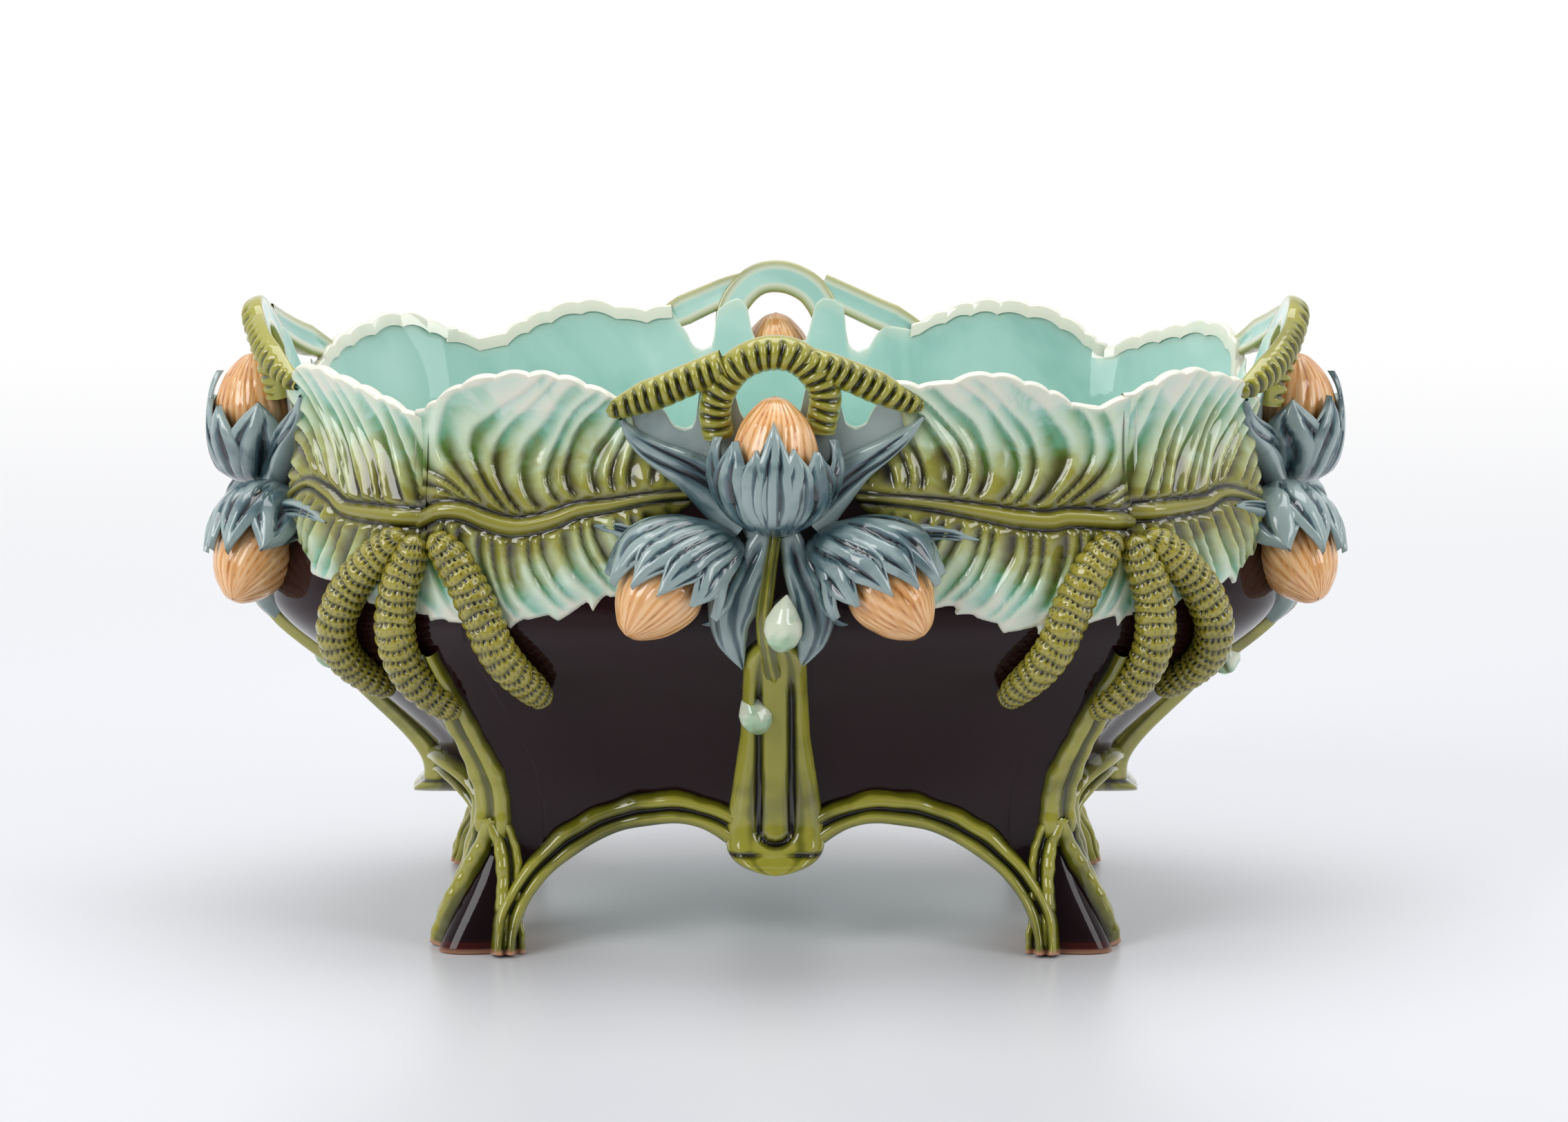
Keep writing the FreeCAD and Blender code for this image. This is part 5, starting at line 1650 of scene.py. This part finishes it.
        petals = (
            (((-8, 156), (-18, 164), (-29, 171.5), (-41, 178), (-48, 183.5), (-52, 190)),
             ((0, 11.5), (0.25, 9.5), (0.5, 6.6), (0.8, 3.8), (1, 0.8)),
             ((0, 8), (0.3, 7.5), (0.7, 5.2), (1, 3.0))),
            (((9, 157), (18, 165), (28, 173), (38, 179.5), (45, 185), (50, 191)),
             ((0, 11.0), (0.25, 8.5), (0.5, 5.4), (0.8, 3.0), (1, 0.6)),
             ((0, 8), (0.3, 7.5), (0.7, 5.2), (1, 3.0))),
            (((-36, 145), (-44, 149), (-52, 151.5), (-61, 153)), ((0, 5), (0.5, 3.6), (0.85, 2.2), (1, 0.5)),
             ((0, 7.5), (0.6, 6.6), (1, 5.6))),
            (((36, 146), (46, 150), (56, 150.5), (68, 148)), ((0, 5), (0.5, 3.4), (0.85, 1.8), (1, 0.4)),
             ((0, 7.5), (0.6, 6.6), (1, 5.6))),
            (((1, 150), (0, 154), (0, 160)), ((0, 10), (0.5, 12), (1, 8)), ((0, 7), (1, 10))),
        )
        for path, half, face in petals:
            Blade(path, half, face, back=-0.8, steps=70, around=44).lay(clay, middle, cut)
        return clay

    def bracts(self, quarter: int) -> Clay:
        """Two bracts that hang below the spray.

        Args:
            quarter: Which side, counted round from the front.

        Returns:
            The piece.
        """
        clay = Clay(bedding=self.bedding)
        middle = quarter * WALL.perimeter / 4

        def cut(t: Array, u: Array, run: Array) -> Tuple[Array, Array]:
            """A hollow down the middle and a few cuts beside it.

            Args:
                t: Share of the way down.
                u: Place across, from -1 to 1.
                run: Distance down; not used.

            Returns:
                Height and pooled glaze.
            """
            hollow = np.exp(-(((u - 0.1 + 0.2 * np.sin(t * 5)) / 0.2) ** 2)) * smooth_step(t, 0.0, 0.15)
            cuts = np.exp(-(((np.abs(u) - 0.6)
                             / 0.08) ** 2)) * smooth_step(t, 0.2, 0.4) * (1 - smooth_step(t, 0.7, 0.9))
            return -1.6 * hollow - 0.7 * cuts + 1.0 * np.abs(u) ** 2, np.clip(0.8 * hollow + 0.9 * cuts, 0,
                                                                              1) * (
                1 - 0.6 * smooth_step(t, 0.6, 1.0))

        for path, half in (
                (((-4, 150), (-8, 140), (-13, 129), (-14.5, 119), (-11, 107)),
                 ((0, 4), (0.3, 7.5), (0.55, 9.0), (0.8, 5.6), (0.93, 2.6), (1, 0.5))),
                (((5, 150), (8, 140), (12, 129), (12.5, 119), (8, 107)),
                 ((0, 4), (0.3, 6.5), (0.55, 8.2), (0.8, 5.2), (0.93, 2.4), (1, 0.5)))):
            Blade(path, half, ((0, 7.4), (0.4, 6.4), (0.8, 6.2), (1, 4.6)), back=-0.8, steps=90,
                  around=52).lay(
                clay, middle, cut)
        return clay

    def bud(self, clay: Clay, frame: Array, width: float, length: float) -> None:
        """Adds a bud wrapped in two scales.

        Args:
            clay: The piece.
            frame: Its seat.
            width: Width across.
            length: Length from end to tip.

        Returns:
            Nothing.
        """
        rows, around = 44, 60
        share = np.linspace(0.0, 1.0, rows)[:, None]
        z = length * (share - 0.5)
        turn = np.linspace(0, 2 * math.pi, around, endpoint=False)[None, :]
        radius = width / 2 * np.interp(share[:, 0], (0, .04, .15, .35, .55, .8, .94, 1),
                                       (.05, .4, .78, 1, .95, .55, .2, .04))[:, None]
        seam = np.exp(-(((np.sin(turn * 0.5 + 0.5 + share * 0.9)) / 0.10) ** 2)) * np.sin(share * math.pi)
        grown = radius - 0.7 * seam + 0.25 * np.sin(turn * 5 + share * 3) * np.sin(share * math.pi)
        pool = np.clip(seam + 0.55 * (1 - smooth_step(share, 0.0, 0.6)), 0, 1)
        points = np.stack([grown * np.cos(turn), grown * np.sin(turn), z + 0 * turn], axis=-1)
        clay.net(placed(points, frame), closed=True, pool=pool + 0 * turn)

    def build(self, kiln: Dict[str, bpy.types.Material]) -> List[bpy.types.Object]:
        """Models the sprays of all four sides.

        Args:
            kiln: Materials by name.

        Returns:
            Nuts, husks, bracts and buds.
        """
        made = []
        for quarter, side in enumerate(SIDES):
            nuts = Clay(bedding=self.bedding)
            for index, frame in enumerate(self.seats(quarter)):
                self.nut(nuts, frame, 1.7 * index + quarter)
            made.append(nuts.build("streaked_nuts_" + side, kiln["nut_apricot_glaze"], (f"nuts_{side}",),
                                   "nut_glaze"))
            made.append(self.husks(quarter).build("cut_husks_" + side, kiln["husk_cobalt_glaze"],
                                                  (f"husks_{side}",),
                                                  "husk_glaze"))
            made.append(self.bracts(quarter).build("hanging_bracts_" + side, kiln["husk_cobalt_glaze"],
                                                   (f"bracts_{side}",), "husk_glaze"))
            buds = Clay(bedding=self.bedding)
            middle = quarter * WALL.perimeter / 4
            angle = float(WALL.angle(np.array(middle)))
            out = np.array([math.cos(angle), math.sin(angle), 0.0])
            right = np.array([-out[1], out[0], 0.0])
            for distance, z, width, length, stand, lean in ((2.5, 122, 13, 20, 8.5, 0.12),
                                                            (-8, 87, 11, 16, 5.5, -0.35)):
                if z < 100 and quarter % 2:
                    z = 92
                axis = np.array([0, 0, 1.0]) + right * lean
                self.bud(buds, seat(WALL.point(middle + distance, z, stand), axis, out), width, length)
            made.append(buds.build("wrapped_buds_" + side, kiln["bud_pale_glaze"], (f"buds_{side}",),
                                   "nut_glaze"))
        return made


@dataclass
class Handle:
    """The ringed twigs over the pierced lip: a horseshoe round the nut, and an arm to each leaf."""

    sit: float = 1.0
    radius: float = 6.0
    pitch: float = 3.9
    paths: Sequence[Tuple[Places, Places]] = (
        (((-56, 191.5), (-46, 196), (-36, 200), (-26, 204.5), (-16, 209)),
         ((0, 0.25), (0.08, 0.6), (0.35, 0.95), (1, 0.9))),
        (((-19, 184), (-20, 192), (-18, 200), (-12, 208.5), (-3, 212.8), (6, 212), (13, 206), (16.5, 198),
          (15, 186)), ((0, 0.9), (0.5, 1.0), (1, 0.9))),
        (((9, 210.5), (17, 208), (25, 204.5), (34, 200.5), (42, 196.5), (49, 194)),
         ((0, 0.8), (0.6, 0.95), (0.92, 0.6), (1, 0.3))),
    )

    def rings(self, share: Array, turn: Array, run: Array) -> Tuple[Array, Array]:
        """Cut rings on the outer face, and their pooled glaze.

        Args:
            share: Share of the way along.
            turn: Angle round the twig.
            run: Distance along it.

        Returns:
            Height and pooled glaze.
        """
        wave = run / self.pitch + 0.10 * np.sin(turn * 2.0) + 0.08 * np.sin(run * 0.5)
        near = np.abs(wave - np.round(wave))
        face = np.exp(-((turn / 1.05) ** 4))
        cut = (np.exp(-((near / 0.17) ** 2)) * face * smooth_step(share, 0.01, 0.06)
               * (1 - smooth_step(share, 0.95, 1)))
        back = np.minimum(self.radius, 2.6 / np.maximum(-np.cos(turn), 0.05))
        flat = np.where(np.abs(turn) > math.pi / 2, self.radius - back, 0.0)
        return -1.35 * cut + 0.35 * face * np.cos(2 * math.pi * wave + math.pi) - flat, np.clip(cut * 1.15, 0,
                                                                                                1)

    def build(self, kiln: Dict[str, bpy.types.Material]) -> List[bpy.types.Object]:
        """Bends the twigs over the lip of all four sides.

        Args:
            kiln: Materials by name.

        Returns:
            One handle per side.
        """
        made = []
        for quarter, side in enumerate(SIDES):
            clay = Clay()
            middle = quarter * WALL.perimeter / 4
            for path, thickness in self.paths:
                points = smooth_curve(path, 170 if len(path) > 6 else 100)
                distance, z = middle + points[:, 0], points[:, 1]
                share = np.linspace(0.0, 1.0, len(points))
                radius = self.radius * np.interp(share, *np.transpose(thickness))
                line = WALL.point(distance, z, self.sit * np.ones_like(z))
                skin, pool = tube(line, radius, 72, self.rings, outward(distance, z))
                turn = np.linspace(-math.pi, math.pi, 72, endpoint=False)[None, :] + 0 * points[:, :1]
                # inside turns the twig's back turquoise. edge is a cream band where the olive face meets the
                # back: partly glaze thinning on the edge, partly a painted highlight along the twig's top
                # edge.
                clay.net(skin, closed=True, flip=True, pool=pool, inside=smooth_step(np.abs(turn), 1.9, 2.3),
                         edge=smooth_step(np.abs(turn), 1.7, 2.0) * (1 - smooth_step(np.abs(turn), 2.2, 2.5)))
            made.append(clay.build("ringed_handle_" + side, kiln["olive_twig_glaze"], (f"handle_{side}",),
                                   "olive_glaze"))
        return made


# ---- the studio ----------------------------------------------------------------------------------------


@dataclass
class Studio:
    """A pale glossy table top that fades into white, large soft lights and the camera."""

    camera_place: Tuple[float, float, float] = (0.003, -1.9696, 0.4714)
    camera_tilt: float = 80.0
    lens: float = 129.15

    def table(self) -> bpy.types.Object:
        """The table top.

        Returns:
            A plane whose colour fades to white with distance.
        """
        mesh = bpy.data.meshes.new("table_top")
        mesh.from_pydata([(-6, -4, 0), (6, -4, 0), (6, 8, 0), (-6, 8, 0)], [], [(0, 1, 2, 3)])
        table = bpy.data.objects.new("table_top", mesh)
        bpy.context.collection.objects.link(table)
        material = bpy.data.materials.new("glossy_white_laminate")
        material.use_nodes = True
        tree = material.node_tree
        tree.nodes.clear()
        place = add_node(tree, "TexCoord").outputs["Object"]
        split = add_node(tree, "SeparateXYZ", Vector=place)
        cloud = add_node(tree, "TexNoise", Vector=place, Scale=3.0, Detail=3.0)
        scuff = add_node(tree, "TexNoise", Vector=place, Scale=60.0, Detail=4.0, Distortion=2.0)
        rough = add_node(tree, "MapRange", Value=scuff.outputs["Fac"], From_Min=0.3, From_Max=0.7,
                         To_Min=0.28,
                         To_Max=0.30)
        # Painted shade: the top's colour is darker towards its front edge, nearest the camera, as if less
        # light reached it there. The noise adds random tone.
        near = add_node(tree, "MapRange", Value=split.outputs["Y"], From_Min=-0.9, From_Max=0.1)
        tone = add_node(tree, "Math", operation="MULTIPLY_ADD", i0=cloud.outputs["Fac"], i1=0.2,
                        i2=near.outputs["Result"])
        colour = add_ramp(tree, tone.outputs["Value"], ((0.0, "#bebcbe"), (0.6, "#cdced2"), (1.0, "#d6d7db")))
        surface = add_node(tree, "BsdfPrincipled", Base_Color=colour, Roughness=rough.outputs["Result"],
                           IOR=1.45)
        white = add_node(tree, "Emission", Color=linear("#ffffff"), Strength=1.0)
        fade = add_node(tree, "MapRange", Value=split.outputs["Y"], From_Min=0.15, From_Max=1.5, To_Min=0.0,
                        To_Max=1.0, interpolation_type="SMOOTHSTEP")
        away = add_node(tree, "VectorMath", operation="LENGTH", i0=place)
        ring = add_node(tree, "MapRange", Value=away.outputs["Value"], From_Min=0.6, From_Max=1.9, To_Min=0.0,
                        To_Max=1.0, interpolation_type="SMOOTHSTEP")
        path = add_node(tree, "LightPath")
        seen = add_node(tree, "Math", operation="MULTIPLY", i0=ring.outputs["Result"],
                        i1=path.outputs["Is Camera Ray"])
        share = add_node(tree, "Math", operation="MAXIMUM", i0=fade.outputs["Result"],
                         i1=seen.outputs["Value"])
        mix = add_node(tree, "MixShader", Fac=share.outputs["Value"], i1=surface.outputs["BSDF"],
                       i2=white.outputs["Emission"])
        output = add_node(tree, "OutputMaterial")
        tree.links.new(mix.outputs["Shader"], output.inputs["Surface"])
        mesh.materials.append(material)
        return table

    def sky(self) -> None:
        """Sets a soft grey-white world that shows white to the camera."""
        world = bpy.data.worlds.new("white_studio")
        world.use_nodes = True
        bpy.context.scene.world = world
        tree = world.node_tree
        tree.nodes.clear()
        path = add_node(tree, "LightPath")
        where = add_node(tree, "TexCoord").outputs["Generated"]
        split = add_node(tree, "SeparateXYZ", Vector=where)
        depth = add_node(tree, "Math", operation="MULTIPLY_ADD", i0=split.outputs["Z"], i1=0.55,
                         i2=split.outputs["Y"])
        shade = add_node(tree, "MapRange", Value=depth.outputs["Value"], From_Min=-0.75, From_Max=0.6,
                         To_Min=0.14, To_Max=0.95, interpolation_type="SMOOTHSTEP")
        soft = add_node(tree, "Background", Color=linear("#f4f5f8"), Strength=shade.outputs["Result"])
        seen = add_node(tree, "Background", Color=linear("#ffffff"), Strength=1.0)
        mix = add_node(tree, "MixShader", Fac=path.outputs["Is Camera Ray"], i1=soft.outputs["Background"],
                       i2=seen.outputs["Background"])
        output = add_node(tree, "OutputWorld")
        tree.links.new(mix.outputs["Shader"], output.inputs["Surface"])

    def light(self, name: str, place: Tuple[float, float, float], size: Tuple[float, float],
              power: float) -> None:
        """Adds a soft box aimed at the bowl.

        Args:
            name: Its name.
            place: Where it stands, in metres.
            size: Width and height, in metres.
            power: Its power in watts.

        Returns:
            Nothing.
        """
        lamp = bpy.data.lights.new(name, "AREA")
        lamp.shape, lamp.size, lamp.size_y, lamp.energy = "RECTANGLE", size[0], size[1], power
        box = bpy.data.objects.new(name, lamp)
        box.location = place
        aim = Vector((0.0, 0.0, 0.12)) - Vector(place)
        box.rotation_mode = "QUATERNION"
        box.rotation_quaternion = aim.to_track_quat("-Z", "Y")
        bpy.context.collection.objects.link(box)

    def build(self) -> None:
        """Sets up table, world, lights and camera."""
        self.table()
        self.sky()
        self.light("soft_box_left", (-1.35, -1.25, 1.15), (1.0, 1.3), 21.0)
        self.light("soft_box_right", (1.5, -0.9, 1.0), (0.8, 1.2), 11.0)
        self.light("overhead_bank", (0.0, 0.25, 1.8), (1.8, 1.1), 17.0)
        view = bpy.data.cameras.new("camera")
        view.lens, view.sensor_width, view.clip_start, view.clip_end = self.lens, 36.0, 0.05, 50.0
        camera = bpy.data.objects.new("camera", view)
        camera.location = self.camera_place
        camera.rotation_euler = (math.radians(self.camera_tilt), 0.0, 0.0)
        bpy.context.collection.objects.link(camera)
        bpy.context.scene.camera = camera
        bpy.context.scene.view_settings.view_transform = "Standard"


def dress_nodes(frame: Dict[str, Dict[str, bpy.types.Object]], kiln: Dict[str, bpy.types.Material]) -> None:
    """Gives the CAD nodes that stay their glaze or bare clay.

    Args:
        kiln: Materials by name.

    Returns:
        Nothing.
    """
    for name, node in frame["nodes"].items():
        glaze = "turquoise_lining_glaze" if name == "floor_slab" else "unglazed_foot_clay"
        for index in range(max(len(node.material_slots), 1)):
            if node.material_slots and not node.hide_render:
                node.material_slots[index].material = kiln[glaze]


def main() -> None:
    """Builds and glazes every piece in order, then sets up the studio."""
    logging.basicConfig(level=logging.INFO, format="%(name)s: %(message)s")
    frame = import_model()
    kiln = {glaze.name: glaze.build() for glaze in GLAZES}
    pieces = Bowl().build(kiln)
    for leaf, names in LEAVES:
        pieces += [leaf.build(kiln, name, turned=bool(index)) for index, name in enumerate(names)]
    pieces += TwigFrame().build(kiln)
    pieces += Catkins().build(kiln)
    pieces += Spray().build(kiln)
    pieces += Handle().build(kiln)
    dress_nodes(frame, kiln)
    Studio().build()
    LOG.info("%d pieces", len(pieces))


if __name__ == "__main__":
    main()
